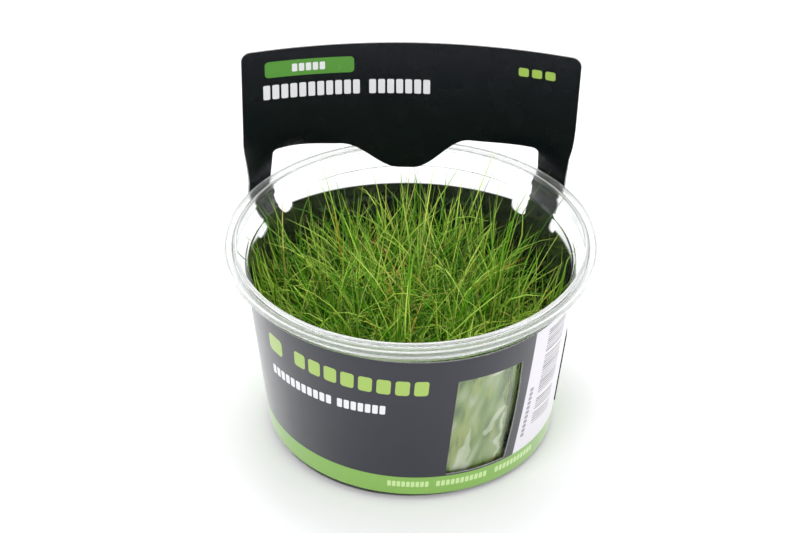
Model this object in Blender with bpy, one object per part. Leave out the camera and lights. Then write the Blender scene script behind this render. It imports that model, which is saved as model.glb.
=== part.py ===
"""Tissue-culture cup of small spikerush: a clear tub, a card sleeve with a header, gel and grass.

Metres, +Z up. The origin is the middle of the cup's foot, on the surface it stands on, and -Y is the front.
"""

import math
import random

import bmesh
import bpy
from mathutils import Vector

MM = 0.001

# Clear cup
RIM_RADIUS = 50.5 * MM
RIM_HEIGHT = 58.0 * MM
FOOT_RADIUS = 38.36 * MM
TAPER = 0.114
WALL = 0.6 * MM
BASE_RECESS = 0.6 * MM
BASE_RECESS_RADIUS = 32.0 * MM
SHOULDER_HEIGHT = 52.4 * MM
COLLAR_RADIUS = 48.1 * MM
LIP_DROP = 1.8 * MM
BROKEN_EDGE = 0.35 * MM
RECESS_SLOPE = 0.8 * MM
FOOT_CORNER = 1.3 * MM
FOOT_CORNER_HEIGHT = 1.4 * MM
SHOULDER_FILLET = 0.6 * MM
SHOULDER_RISE = 0.5 * MM
COLLAR_CORNER = 0.5 * MM
COLLAR_DRAFT = 0.1 * MM
BEAD_TOP = 0.4 * MM
BEAD_BOTTOM = 0.9 * MM
BEAD_END = 1.5 * MM
BEAD_DEPTH = 0.5 * MM
FLOOR_CORNER = 1.6 * MM
FLOOR_CORNER_HEIGHT = 1.0 * MM
CUP_SEGMENTS = 72

# Card sleeve, with heights measured before it was pushed on askew
CARD = 0.45 * MM
CARD_GAP = 0.45 * MM
SKEW = 0.028
BAND_BOTTOM = 2.2 * MM
BAND_TOP = 50.0 * MM
BACK_EDGE = 47.4 * MM
BACK_EDGE_RISE = 2.2 * MM
WINDOW_BOTTOM = 8.9 * MM
WINDOW_TOP = 42.8 * MM
WINDOW_FROM = 138.3
WINDOW_TO = 163.7
WINDOW_SLANT = 3.0
LEG_ROOT = 48.2 * MM
COLLAR_FOOT = 52.9 * MM
COLLAR_TOP = 54.1 * MM
UNDER_LIP = 55.85 * MM
OVER_LIP = 58.5 * MM
COLLAR_CLEARANCE = 0.7 * MM
LIP_CLEARANCE = 0.65 * MM
LEG_FLARE = 0.25 * MM
LEG_MIDDLE_LEFT = -41.3 * MM
LEG_MIDDLE_RIGHT = 38.9 * MM
LEG_AT_RIM = 56.5 * MM
LEG_SHAPED = 66.0 * MM
LEG_STRAIGHT = 75.0 * MM
OUTER_LEFT = (-63.6, -60.1, -58.7)
OUTER_RIGHT = (59.5, 57.0, 56.3)
INNER_LEFT = (-54.7, -49.4)
INNER_RIGHT = (47.0, 44.0)
SLOT_WIDTH = 7.0
SLOT_TOP = 48.0 * MM
NOTCH_WIDTH = 5.0
NOTCH_TOP = 49.6 * MM
RELIEF_DEPTH = 1.6 * MM
HEADER_DEGREES = 57.5
HEADER_INNER_LEFT = -48.0
HEADER_INNER_RIGHT = 44.0
HEADER_HALF_WIDTH = 46.0 * MM
HEADER_TOP = 97.4 * MM
HEADER_CORNER = 2.4 * MM
HEADER_BOW = 7.5 * MM
HEADER_EDGE_Y = 29.5 * MM
HEADER_EDGE_HEIGHT = 77.0 * MM
HEADER_LEAN = math.tan(math.radians(3.0))
CUTOUT_TOP_LEFT = 66.6 * MM
CUTOUT_TOP_RIGHT = 68.2 * MM
CUTOUT_CORNER = 1.8 * MM
TONGUE_TIP = 58.2 * MM
TONGUE_LEFT = -3.5 * MM
TONGUE_RIGHT = 0.5 * MM
TONGUE_FLARE = 16.5 * MM
TWIST_START = 57.0 * MM
TWIST_END = 72.0 * MM
HELD_FROM = 0.35
HELD_FULLY = 0.8
TAB_FROM = 76.0
TAB_TO = 97.0
TAB_BOTTOM = 9.0 * MM
TAB_TOP = 31.5 * MM
TAB_STAND = 0.35 * MM
TAB_CORNER = 3.0 * MM
COLUMN_DEGREES = 5.0
BAND_ROW = 25.0 * MM
HEADER_ROWS = (62.0 * MM, 66.0 * MM, 70.0 * MM, 74.0 * MM, 86.0 * MM)
CORNER_STEPS = 4
RELIEF_STEPS = 6
BACK_STEPS = 8
TONGUE_STEPS = 8
SAME_POINT = 0.001 * MM

# Culture gel
GEL_TOP = 10.0 * MM
GEL_MENISCUS = 0.8 * MM
GEL_LIP = 0.5 * MM
GEL_SLOPE = 2.2 * MM
PIECE_GAP = 0.3 * MM
GEL_SEGMENTS = 48

# Tufts of grass, in rings of (count, radius); one place in the outer ring is left open
TUFT_RINGS = ((1, 0.0), (6, 11.3 * MM), (11, 22.4 * MM), (16, 33.0 * MM))
RING_TURNS = (0.0, 17.0, 34.0, 20.0)
OPEN_PLACE = 0
RIDGES = 8
VALLEY = 0.74
ROOT_RADIUS = 3.4 * MM
SHEAF_RADIUS = 5.2 * MM
SHEAF_LOW = 41.0 * MM
SHEAF_HIGH = 47.0 * MM
SHEAF_TWIST = 9.0
SHEAF_STAGES = 4
CREST = 1.5 * MM
BLADE_RADIUS = 0.75 * MM
BLADE_TIP = 0.14 * MM
TIP_REACH = 4.6 * MM
SHORTEST_REACH = 0.75
BEND_REACH = 0.62
BEND_RISE = 0.45
SPREAD = 3.0
LOW_TIP = 52.0 * MM
HIGH_TIP = 66.0 * MM
BACK_TIP = 57.0 * MM
BACK_FROM = 22.0 * MM
FIRST_SEED = 400

DARK_CARD = (0.012, 0.014, 0.018)
CLEAR_PLASTIC = (0.92, 0.95, 0.95)
PALE_GEL = (0.62, 0.68, 0.52)
GRASS_GREEN = (0.12, 0.30, 0.04)


def clear_scene():
    """Remove every object that the scene starts with."""
    for obj in list(bpy.data.objects):
        bpy.data.objects.remove(obj, do_unlink=True)


def make_material(name, colour, roughness, transmission=0.0, ior=1.5):
    """One plain material; none of the pieces is metal."""
    material = bpy.data.materials.new(name)
    material.use_nodes = True
    shader = material.node_tree.nodes["Principled BSDF"]
    shader.inputs["Base Color"].default_value = (*colour, 1.0)
    shader.inputs["Roughness"].default_value = roughness
    shader.inputs["Metallic"].default_value = 0.0
    shader.inputs["Transmission Weight"].default_value = transmission
    shader.inputs["IOR"].default_value = ior
    material.diffuse_color = (*colour, 1.0)
    return material


def add_object(name, mesh, material, smooth_angle=None):
    """Link a mesh to the scene as a named object with one material."""
    mesh.materials.append(material)
    if smooth_angle is not None:
        mesh.shade_smooth()
        mesh.set_sharp_from_angle(angle=math.radians(smooth_angle))
    obj = bpy.data.objects.new(name, mesh)
    bpy.context.scene.collection.objects.link(obj)
    return obj


def turned_mesh(name, profile, segments):
    """Turn a profile of (radius, height) points round the Z axis into a closed body.

    The profile starts and ends on the axis and runs up the outside first.
    """
    bm = bmesh.new()
    rings = []
    for radius, height in profile:
        if radius == 0:
            rings.append([bm.verts.new((0, 0, height))])
            continue
        ring = []
        for step in range(segments):
            turn = 2 * math.pi * step / segments
            ring.append(bm.verts.new((radius * math.cos(turn), radius * math.sin(turn), height)))
        rings.append(ring)
    for lower, upper in zip(rings, rings[1:]):
        for step in range(segments):
            after = (step + 1) % segments
            corners = [lower[step % len(lower)], lower[after % len(lower)]]
            corners += [upper[after % len(upper)], upper[step % len(upper)]]
            bm.faces.new(list(dict.fromkeys(corners)))
    bmesh.ops.recalc_face_normals(bm, faces=bm.faces)
    mesh = bpy.data.meshes.new(name)
    bm.to_mesh(mesh)
    bm.free()
    return mesh


def wall_radius(height):
    """Outer radius of the cup's tapered wall."""
    return FOOT_RADIUS + TAPER * height


def build_cup():
    """The clear tub: recessed foot, tapered wall, shoulder, collar and the flange that a lid presses over."""
    floor = BASE_RECESS + WALL
    under_flange = RIM_HEIGHT - WALL
    skirt = RIM_HEIGHT - LIP_DROP
    shoulder = wall_radius(SHOULDER_HEIGHT)
    outside = [
        (0.0, BASE_RECESS),
        (BASE_RECESS_RADIUS, BASE_RECESS),
        (BASE_RECESS_RADIUS + RECESS_SLOPE, 0.0),
        (FOOT_RADIUS - FOOT_CORNER, 0.0),
        (FOOT_RADIUS - BROKEN_EDGE, BROKEN_EDGE),
        (wall_radius(FOOT_CORNER_HEIGHT), FOOT_CORNER_HEIGHT),
        (shoulder, SHOULDER_HEIGHT),
        (shoulder + SHOULDER_FILLET, SHOULDER_HEIGHT + BROKEN_EDGE),
        (COLLAR_RADIUS - COLLAR_CORNER, SHOULDER_HEIGHT + SHOULDER_RISE),
        (COLLAR_RADIUS, SHOULDER_HEIGHT + SHOULDER_RISE + COLLAR_CORNER),
        (COLLAR_RADIUS + COLLAR_DRAFT, under_flange),
        (RIM_RADIUS - WALL, under_flange),
        (RIM_RADIUS - WALL, skirt),
        (RIM_RADIUS, skirt),
        (RIM_RADIUS, RIM_HEIGHT - BROKEN_EDGE),
        (RIM_RADIUS - BROKEN_EDGE, RIM_HEIGHT),
    ]
    bead = COLLAR_RADIUS - WALL - BEAD_DEPTH
    ledge = SHOULDER_HEIGHT + SHOULDER_RISE + WALL
    collar_inside = COLLAR_RADIUS - WALL - COLLAR_DRAFT
    inside = [
        (bead + BEAD_TOP, RIM_HEIGHT),
        (bead, RIM_HEIGHT - BEAD_TOP),
        (bead, RIM_HEIGHT - BEAD_BOTTOM),
        (COLLAR_RADIUS - WALL, RIM_HEIGHT - BEAD_END),
        (collar_inside, ledge + COLLAR_CORNER),
        (collar_inside - COLLAR_CORNER, ledge),
        (shoulder, ledge - COLLAR_DRAFT),
        (shoulder - WALL, SHOULDER_HEIGHT + COLLAR_DRAFT),
        (wall_radius(floor + FLOOR_CORNER_HEIGHT) - WALL, floor + FLOOR_CORNER_HEIGHT),
        (wall_radius(floor) - FLOOR_CORNER, floor),
        (0.0, floor),
    ]
    plastic = make_material("clear_plastic", CLEAR_PLASTIC, 0.05, transmission=1.0, ior=1.49)
    return add_object("cup", turned_mesh("cup", outside + inside, CUP_SEGMENTS), plastic, 35)


def build_gel():
    """The disc of set culture gel, with its edge drawn a little up the wall."""
    bottom = BASE_RECESS + WALL + PIECE_GAP
    gap = WALL + PIECE_GAP
    edge = wall_radius(GEL_TOP) - gap
    profile = [
        (0.0, bottom),
        (wall_radius(bottom) - gap - FLOOR_CORNER, bottom),
        (wall_radius(bottom + FLOOR_CORNER) - gap, bottom + FLOOR_CORNER),
        (edge, GEL_TOP),
        (edge - GEL_LIP, GEL_TOP),
        (edge - GEL_SLOPE, GEL_TOP - GEL_MENISCUS),
        (0.0, GEL_TOP - GEL_MENISCUS),
    ]
    gel = make_material("culture_gel", PALE_GEL, 0.15, transmission=0.4, ior=1.34)
    return add_object("culture_gel", turned_mesh("culture_gel", profile, GEL_SEGMENTS), gel, 35)


def smooth_step(value, low, high):
    """Rise smoothly from 0 at low to 1 at high."""
    share = min(max((value - low) / (high - low), 0.0), 1.0)
    return share * share * (3 - 2 * share)


def leg_stations(middle):
    """The (height, radius) places where a leg bends, for a leg that stands at x = middle.

    The collar and the lip lie level, and the card askew, so the places differ from leg to leg.
    """
    aslant = SKEW * middle
    return (
        (LEG_ROOT, card_radius(LEG_ROOT)),
        (COLLAR_FOOT + aslant, COLLAR_RADIUS + COLLAR_CLEARANCE),
        (COLLAR_TOP + aslant, COLLAR_RADIUS + COLLAR_CLEARANCE),
        (UNDER_LIP + aslant, RIM_RADIUS + LIP_CLEARANCE),
        (OVER_LIP + aslant, RIM_RADIUS + LIP_CLEARANCE + LEG_FLARE),
    )


def leg_radius(degrees, height):
    """Radius of the card's middle plane where a leg bends out round the collar and the lip."""
    stations = leg_stations(LEG_MIDDLE_LEFT if degrees < 0 else LEG_MIDDLE_RIGHT)
    for (low, start), (high, end) in zip(stations, stations[1:]):
        if height <= high:
            return start + (end - start) * max(height - low, 0.0) / (high - low)
    return stations[-1][1]


def card_radius(height):
    """Radius of the middle plane of the card where it lies on the cup."""
    return wall_radius(height) + CARD_GAP + CARD / 2


def above_band(degrees, height):
    """Whether a point of the flat card is on one of the legs or on the header."""
    if height > (BAND_TOP + TONGUE_TIP) / 2:
        return True
    half = NOTCH_WIDTH / 2
    left = OUTER_LEFT[0] - half < degrees < (INNER_LEFT[0] + SLOT_WIDTH + INNER_LEFT[1]) / 2
    right = (INNER_RIGHT[0] - SLOT_WIDTH + INNER_RIGHT[1]) / 2 < degrees < OUTER_RIGHT[0] + half
    return height > LEG_ROOT and (left or right)


def bend_card(degrees, height):
    """Place a point of the flat card in space.

    degrees counts round the cup from the middle of its back, and +X is its positive side.
    """
    raised = above_band(degrees, height)
    radius = leg_radius(degrees, height) if raised else card_radius(height)
    turn = math.radians(degrees)
    wrapped = Vector((radius * math.sin(turn), radius * math.cos(turn), height))
    on_leg_foot = height <= TWIST_START and abs(degrees) > HEADER_DEGREES / 2
    if on_leg_foot or not raised:
        return wrapped
    across = degrees / HEADER_DEGREES
    y = HEADER_EDGE_Y + HEADER_BOW * (1 - across**2) + HEADER_LEAN * (height - HEADER_EDGE_HEIGHT)
    flat = Vector((HEADER_HALF_WIDTH * across, y, height))
    held = smooth_step(abs(across), HELD_FROM, HELD_FULLY)
    share = 1 - held * (1 - smooth_step(height, TWIST_START, TWIST_END))
    return wrapped.lerp(flat, share)


def arc_points(centre, radius, start, end, steps=CORNER_STEPS):
    """Points on an arc in the flat card's plane, between two angles in degrees."""
    points = []
    for step in range(steps + 1):
        turn = math.radians(start + (end - start) * step / steps)
        points.append((centre[0] + radius[0] * math.cos(turn), centre[1] + radius[1] * math.sin(turn)))
    return points


def relief(first, last, height):
    """A round-bottomed relief cut at the root of a leg, from one side of it to the other."""
    start, end = (180, 360) if first < last else (0, -180)
    size = (abs(last - first) / 2, RELIEF_DEPTH)
    return arc_points(((first + last) / 2, height), size, start, end, RELIEF_STEPS)


def back_edge():
    """The band's top edge at the back, from the left slot to the right one: it dips in the middle."""
    start = INNER_LEFT[0] + SLOT_WIDTH
    end = INNER_RIGHT[0] - SLOT_WIDTH
    points = []
    for step in range(BACK_STEPS + 1):
        part = step / BACK_STEPS
        rise = BACK_EDGE_RISE * (2 * part - 1) ** 2
        points.append((start + (end - start) * part, BACK_EDGE + rise))
    return points


def header_degrees(x):
    """The place round the card of a point that stands x from the middle of the header."""
    return HEADER_DEGREES * x / HEADER_HALF_WIDTH


def tongue_points():
    """The lower edge of the header from right to left: straight, round the tongue, straight."""
    points = []
    for step in range(TONGUE_STEPS + 1):
        part = 1 - step / TONGUE_STEPS
        drop = (CUTOUT_TOP_RIGHT - TONGUE_TIP) * (1 + math.cos(math.pi * part)) / 2
        points.append((header_degrees(TONGUE_RIGHT + part * TONGUE_FLARE), CUTOUT_TOP_RIGHT - drop))
    for step in range(TONGUE_STEPS + 1):
        part = step / TONGUE_STEPS
        drop = (CUTOUT_TOP_LEFT - TONGUE_TIP) * (1 + math.cos(math.pi * part)) / 2
        points.append((header_degrees(TONGUE_LEFT - part * TONGUE_FLARE), CUTOUT_TOP_LEFT - drop))
    return points


def sleeve_outline():
    """The flat card's outer edge as (degrees, height), from the left end of the bottom edge."""
    corner = (header_degrees(HEADER_CORNER), HEADER_CORNER)
    corner_height = HEADER_TOP - HEADER_CORNER
    outline = [(-180.0, BAND_BOTTOM), (180.0, BAND_BOTTOM), (180.0, BAND_TOP)]
    outline += relief(OUTER_RIGHT[0] + NOTCH_WIDTH, OUTER_RIGHT[0], NOTCH_TOP)
    outline += [(OUTER_RIGHT[1], LEG_AT_RIM), (OUTER_RIGHT[2], LEG_SHAPED), (OUTER_RIGHT[2], LEG_STRAIGHT)]
    outline += arc_points((HEADER_DEGREES - corner[0], corner_height), corner, 0, 90)
    outline += arc_points((-HEADER_DEGREES + corner[0], corner_height), corner, 90, 180)
    outline += [(-HEADER_DEGREES, LEG_STRAIGHT), (OUTER_LEFT[2], LEG_SHAPED), (OUTER_LEFT[1], LEG_AT_RIM)]
    outline += relief(OUTER_LEFT[0], OUTER_LEFT[0] - NOTCH_WIDTH, NOTCH_TOP)
    outline.append((-180.0, BAND_TOP))
    return outline


def cutout_outline():
    """The opening between the legs, from the right leg's root round the back edge of the band."""
    corner = (header_degrees(CUTOUT_CORNER), CUTOUT_CORNER)
    right = HEADER_INNER_RIGHT - corner[0]
    left = HEADER_INNER_LEFT + corner[0]
    outline = [(INNER_RIGHT[1], LEG_AT_RIM)]
    outline += arc_points((right, CUTOUT_TOP_RIGHT - corner[1]), corner, 0, 90)
    outline += tongue_points()
    outline += arc_points((left, CUTOUT_TOP_LEFT - corner[1]), corner, 90, 180)
    outline.append((INNER_LEFT[1], LEG_AT_RIM))
    outline += relief(INNER_LEFT[0], INNER_LEFT[0] + SLOT_WIDTH, SLOT_TOP)
    outline += back_edge()
    outline += relief(INNER_RIGHT[0] - SLOT_WIDTH, INNER_RIGHT[0], SLOT_TOP)
    return outline


def flat_card(outlines):
    """Fill closed outlines as one flat face mesh with holes, in (degrees, height) coordinates."""
    bm = bmesh.new()
    for outline in outlines:
        verts = [bm.verts.new((degrees * MM, height, 0)) for degrees, height in outline]
        for first, second in zip(verts, verts[1:] + verts[:1]):
            bm.edges.new((first, second))
    bmesh.ops.remove_doubles(bm, verts=bm.verts, dist=SAME_POINT)
    bmesh.ops.triangle_fill(bm, use_beauty=True, edges=bm.edges)
    return bm


def cut_lines(bm, columns, rows):
    """Cut the flat card along straight lines, so that it bends smoothly."""
    cuts = [((degrees * MM, 0, 0), (1, 0, 0)) for degrees in columns]
    cuts += [((0, height, 0), (0, 1, 0)) for height in rows]
    for place, across in cuts:
        geometry = bm.verts[:] + bm.edges[:] + bm.faces[:]
        bmesh.ops.bisect_plane(
            bm, geom=geometry, dist=SAME_POINT / 10, plane_co=place, plane_no=across
        )


def card_normal(degrees, height):
    """Outward normal of the bent card at a point, from its slopes a hair's width to each side."""
    step = 0.05
    along = bend_card(degrees + step, height) - bend_card(degrees - step, height)
    up = bend_card(degrees, height + step * MM) - bend_card(degrees, height - step * MM)
    return up.cross(along).normalized()


def bent_mesh(name, bm, stand_off):
    """Bend the flat card into space and give it its thickness on both sides of the middle plane."""
    normals = {}
    for vert in bm.verts:
        degrees, height = vert.co.x / MM, vert.co.y
        vert.co = bend_card(degrees, height)
        normals[vert] = card_normal(degrees, height)
    weld = bmesh.ops.find_doubles(bm, verts=bm.verts, dist=SAME_POINT)["targetmap"]
    bmesh.ops.weld_verts(bm, targetmap=weld)
    for face in bm.faces:
        face.normal_update()
        if face.normal.dot(normals[face.verts[0]]) < 0:
            face.normal_flip()
    inner = {}
    outer_verts = list(bm.verts)
    outer_faces = list(bm.faces)
    rim = [edge for edge in bm.edges if edge.is_boundary]
    for vert in outer_verts:
        middle = vert.co + normals[vert] * stand_off
        inner[vert] = bm.verts.new(middle - normals[vert] * CARD / 2)
        vert.co = middle + normals[vert] * CARD / 2
    for face in outer_faces:
        bm.faces.new([inner[vert] for vert in reversed(face.verts)])
    for edge in rim:
        loop = edge.link_loops[0]
        first, second = loop.vert, loop.link_loop_next.vert
        bm.faces.new((second, first, inner[first], inner[second]))
    for vert in bm.verts:
        vert.co.z -= SKEW * vert.co.x
    bmesh.ops.recalc_face_normals(bm, faces=bm.faces)
    mesh = bpy.data.meshes.new(name)
    bm.to_mesh(mesh)
    bm.free()
    return mesh


def column_places():
    """Where the card is cut from top to bottom, in degrees."""
    count = int(round(360 / COLUMN_DEGREES))
    return [-180 + COLUMN_DEGREES * step for step in range(1, count)]


def build_sleeve():
    """The die-cut card: a band round the cup, two legs, and the header that they carry."""
    window = [
        (WINDOW_FROM + WINDOW_SLANT, WINDOW_BOTTOM),
        (WINDOW_TO + WINDOW_SLANT, WINDOW_BOTTOM),
        (WINDOW_TO, WINDOW_TOP),
        (WINDOW_FROM, WINDOW_TOP),
    ]
    bm = flat_card([sleeve_outline(), cutout_outline(), window])
    bends = leg_stations(LEG_MIDDLE_LEFT) + leg_stations(LEG_MIDDLE_RIGHT)
    rows = {BAND_ROW, *HEADER_ROWS, *(height for height, _ in bends)}
    cut_lines(bm, column_places(), sorted(rows))
    card = make_material("printed_card", DARK_CARD, 0.45)
    sleeve = add_object("sleeve", bent_mesh("sleeve", bm, 0.0), card, 30)
    corner = (math.degrees(TAB_CORNER / card_radius(TAB_TOP)), TAB_CORNER)
    tab = [(TAB_TO, TAB_BOTTOM), (TAB_TO, TAB_TOP)]
    tab += arc_points((TAB_FROM + corner[0], TAB_TOP - corner[1]), corner, 90, 180)
    tab += arc_points((TAB_FROM + corner[0], TAB_BOTTOM + corner[1]), corner, 180, 270)
    tab_bm = flat_card([tab])
    cut_lines(tab_bm, [place for place in column_places() if TAB_FROM < place < TAB_TO], [BAND_ROW])
    closing_tab = add_object("closing_tab", bent_mesh("closing_tab", tab_bm, TAB_STAND), card)
    closing_tab.hide_render = True
    closing_tab.display_type = "WIRE"
    union = sleeve.modifiers.new("closing_tab", "BOOLEAN")
    union.operation = "UNION"
    union.solver = "EXACT"
    union.object = closing_tab
    return sleeve


def tuft_places():
    """Centres of the tufts on the gel, ring by ring, with one place in the outer ring left open."""
    places = []
    for (count, radius), ring_turn in zip(TUFT_RINGS, RING_TURNS):
        for step in range(count):
            if count == TUFT_RINGS[-1][0] and step == OPEN_PLACE:
                continue
            turn = math.radians(360 * step / count + ring_turn)
            places.append(Vector((radius * math.cos(turn), radius * math.sin(turn))))
    return places


def fan_out(point, height):
    """Move a point outwards with height, so that the grass spreads as the cup widens."""
    spread = 1 + SPREAD * (height - GEL_TOP)
    return Vector((point.x * spread, point.y * spread, height))


def sheaf_ring(bm, place, radius, height, turn):
    """One level of a sheaf: a ring of ridges and valleys, two corners to each bundle of blades."""
    ring = []
    for corner in range(2 * RIDGES):
        reach = radius * (VALLEY if corner % 2 else 1)
        angle = math.radians(turn + 180 * corner / RIDGES)
        spot = place + Vector((reach * math.cos(angle), reach * math.sin(angle)))
        ring.append(bm.verts.new(fan_out(spot, height)))
    return ring


def tip_height(place, chance):
    """Height of a blade's tip: lower at the back, where the tongue of the card hangs."""
    highest = BACK_TIP if place.y > BACK_FROM else HIGH_TIP
    return LOW_TIP + (highest - LOW_TIP) * chance.random()


def draw_blade(bm, face, place, chance):
    """Draw one bundle's top out into a blade, with a bend and a fine tip."""
    root = face.calc_center_median()
    spread = 1 + SPREAD * (root.z - GEL_TOP)
    away = Vector((root.x / spread - place.x, root.y / spread - place.y)).normalized()
    reach = TIP_REACH * chance.uniform(SHORTEST_REACH, 1)
    tip = fan_out(place + away * reach, tip_height(place, chance))
    bend = fan_out(place + away * TIP_REACH * BEND_REACH, root.z + BEND_RISE * (tip.z - root.z))
    for centre, radius in ((bend, BLADE_RADIUS), (tip, BLADE_TIP)):
        face = bmesh.ops.extrude_discrete_faces(bm, faces=[face])["faces"][0]
        middle = face.calc_center_median()
        for vert in face.verts:
            offset = vert.co - middle
            offset.z = 0
            vert.co = centre + offset.normalized() * radius


def build_tuft(number, place, material):
    """One plantlet: a sheaf of blades that widens from its root on the gel and ends in free tips."""
    chance = random.Random(FIRST_SEED + number)
    bm = bmesh.new()
    bottom = GEL_TOP - GEL_MENISCUS + PIECE_GAP
    top = chance.uniform(SHEAF_LOW, SHEAF_HIGH)
    start = chance.uniform(0, 360)
    rings = []
    for stage in range(SHEAF_STAGES):
        part = stage / (SHEAF_STAGES - 1)
        radius = ROOT_RADIUS + (SHEAF_RADIUS - ROOT_RADIUS) * math.sqrt(part)
        height = bottom + (top - bottom) * part
        rings.append(sheaf_ring(bm, place, radius, height, start + SHEAF_TWIST * stage))
    bm.faces.new(reversed(rings[0]))
    for lower, upper in zip(rings, rings[1:]):
        for corner in range(2 * RIDGES):
            after = (corner + 1) % (2 * RIDGES)
            bm.faces.new((lower[corner], lower[after], upper[after], upper[corner]))
    crest = bm.verts.new(fan_out(place, top + CREST))
    tops = []
    for corner in range(0, 2 * RIDGES, 2):
        valleys = (rings[-1][corner - 1], rings[-1][(corner + 1) % (2 * RIDGES)])
        tops.append(bm.faces.new((crest, valleys[0], rings[-1][corner], valleys[1])))
    bm.normal_update()
    for face in tops:
        draw_blade(bm, face, place, chance)
    bmesh.ops.recalc_face_normals(bm, faces=bm.faces)
    name = f"tuft_{number:02d}"
    mesh = bpy.data.meshes.new(name)
    bm.to_mesh(mesh)
    bm.free()
    return add_object(name, mesh, material)


def main():
    """Build every piece in place."""
    clear_scene()
    build_cup()
    build_sleeve()
    build_gel()
    grass = make_material("grass", GRASS_GREEN, 0.5)
    for number, place in enumerate(tuft_places(), start=1):
        build_tuft(number, place, grass)


main()
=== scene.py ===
"""Looks of a clear culture cup of fine aquarium grass in a printed card sleeve.

Everything is in metres, +Z up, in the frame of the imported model: the origin is the middle of the cup's
foot and -Y is the front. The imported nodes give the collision. The cup, the card, the gel and each tuft of
grass are made again here with their fine shape, in the same places and at the same sizes.
"""

import logging
import math
from dataclasses import dataclass
from enum import Enum

import bmesh
import bpy
import numpy as np
from mathutils import Matrix, Vector, noise


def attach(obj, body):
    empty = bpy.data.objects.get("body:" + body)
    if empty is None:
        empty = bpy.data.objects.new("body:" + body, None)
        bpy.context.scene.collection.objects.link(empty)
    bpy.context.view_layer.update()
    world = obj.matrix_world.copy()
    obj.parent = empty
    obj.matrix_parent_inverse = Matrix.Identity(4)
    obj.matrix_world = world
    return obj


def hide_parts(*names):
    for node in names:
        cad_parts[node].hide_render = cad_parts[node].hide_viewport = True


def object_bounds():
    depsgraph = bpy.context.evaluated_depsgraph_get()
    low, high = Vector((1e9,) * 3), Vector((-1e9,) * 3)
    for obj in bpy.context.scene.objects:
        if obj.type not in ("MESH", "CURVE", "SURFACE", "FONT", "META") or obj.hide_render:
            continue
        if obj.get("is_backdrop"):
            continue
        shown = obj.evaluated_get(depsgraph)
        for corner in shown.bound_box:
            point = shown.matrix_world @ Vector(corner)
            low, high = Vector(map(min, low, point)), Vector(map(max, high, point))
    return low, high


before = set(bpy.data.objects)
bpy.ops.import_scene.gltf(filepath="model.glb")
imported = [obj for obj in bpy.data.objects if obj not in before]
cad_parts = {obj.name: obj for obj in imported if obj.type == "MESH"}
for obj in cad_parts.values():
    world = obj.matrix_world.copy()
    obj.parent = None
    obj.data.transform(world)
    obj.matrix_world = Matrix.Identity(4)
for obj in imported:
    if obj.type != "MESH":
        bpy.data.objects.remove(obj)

MM = 0.001
CORNER_SHARE = 0.45
SMALLEST_CORNER = 0.02 * MM
BODY = "root"
LOG = logging.getLogger("culture_cup")

Colour = tuple[float, float, float]
Point2 = tuple[float, float]
Three = tuple[float, float, float]
Four = tuple[float, float, float, float]
Row = tuple[Point2, Point2, int]
Stop = tuple[float, Colour]
Stroke = tuple[Point2, Point2, float, float, float]
Socket = bpy.types.NodeSocket
Material = bpy.types.Material
Piece = bpy.types.Object


class Slot(Enum):
    """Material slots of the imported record."""

    PLASTIC = "clear_plastic"
    CARD = "printed_card"
    GEL = "gel"
    GRASS = "grass"


class Face(Enum):
    """Sides of the card, by their place in the sleeve's list of materials."""

    OUTSIDE = 0
    INSIDE = 1
    CUT_EDGE = 2


class Zone(Enum):
    """Zones of the moulded cup, by their place in its list of materials."""

    WALL = 0
    COLLAR = 1
    FLANGE = 2
    EDGE = 3


class Ink(Enum):
    """Inks of the printed card, as linear colours."""

    CHARCOAL = (0.004, 0.0045, 0.015)
    NEAR_BLACK = (0.003, 0.0042, 0.0065)
    STRIPE = (0.20, 0.40, 0.065)
    TITLE_GREEN = (0.085, 0.26, 0.04)
    ACCENT = (0.31, 0.46, 0.085)
    WHITE = (0.70, 0.70, 0.72)
    LABEL_WHITE = (0.69, 0.665, 0.72)
    LABEL_GREY = (0.03, 0.027, 0.035)
    NOTE_GREY = (0.24, 0.23, 0.27)
    PALE_GREEN = (0.50, 0.68, 0.30)
    FAINT_GREY = (0.055, 0.06, 0.062)


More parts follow.
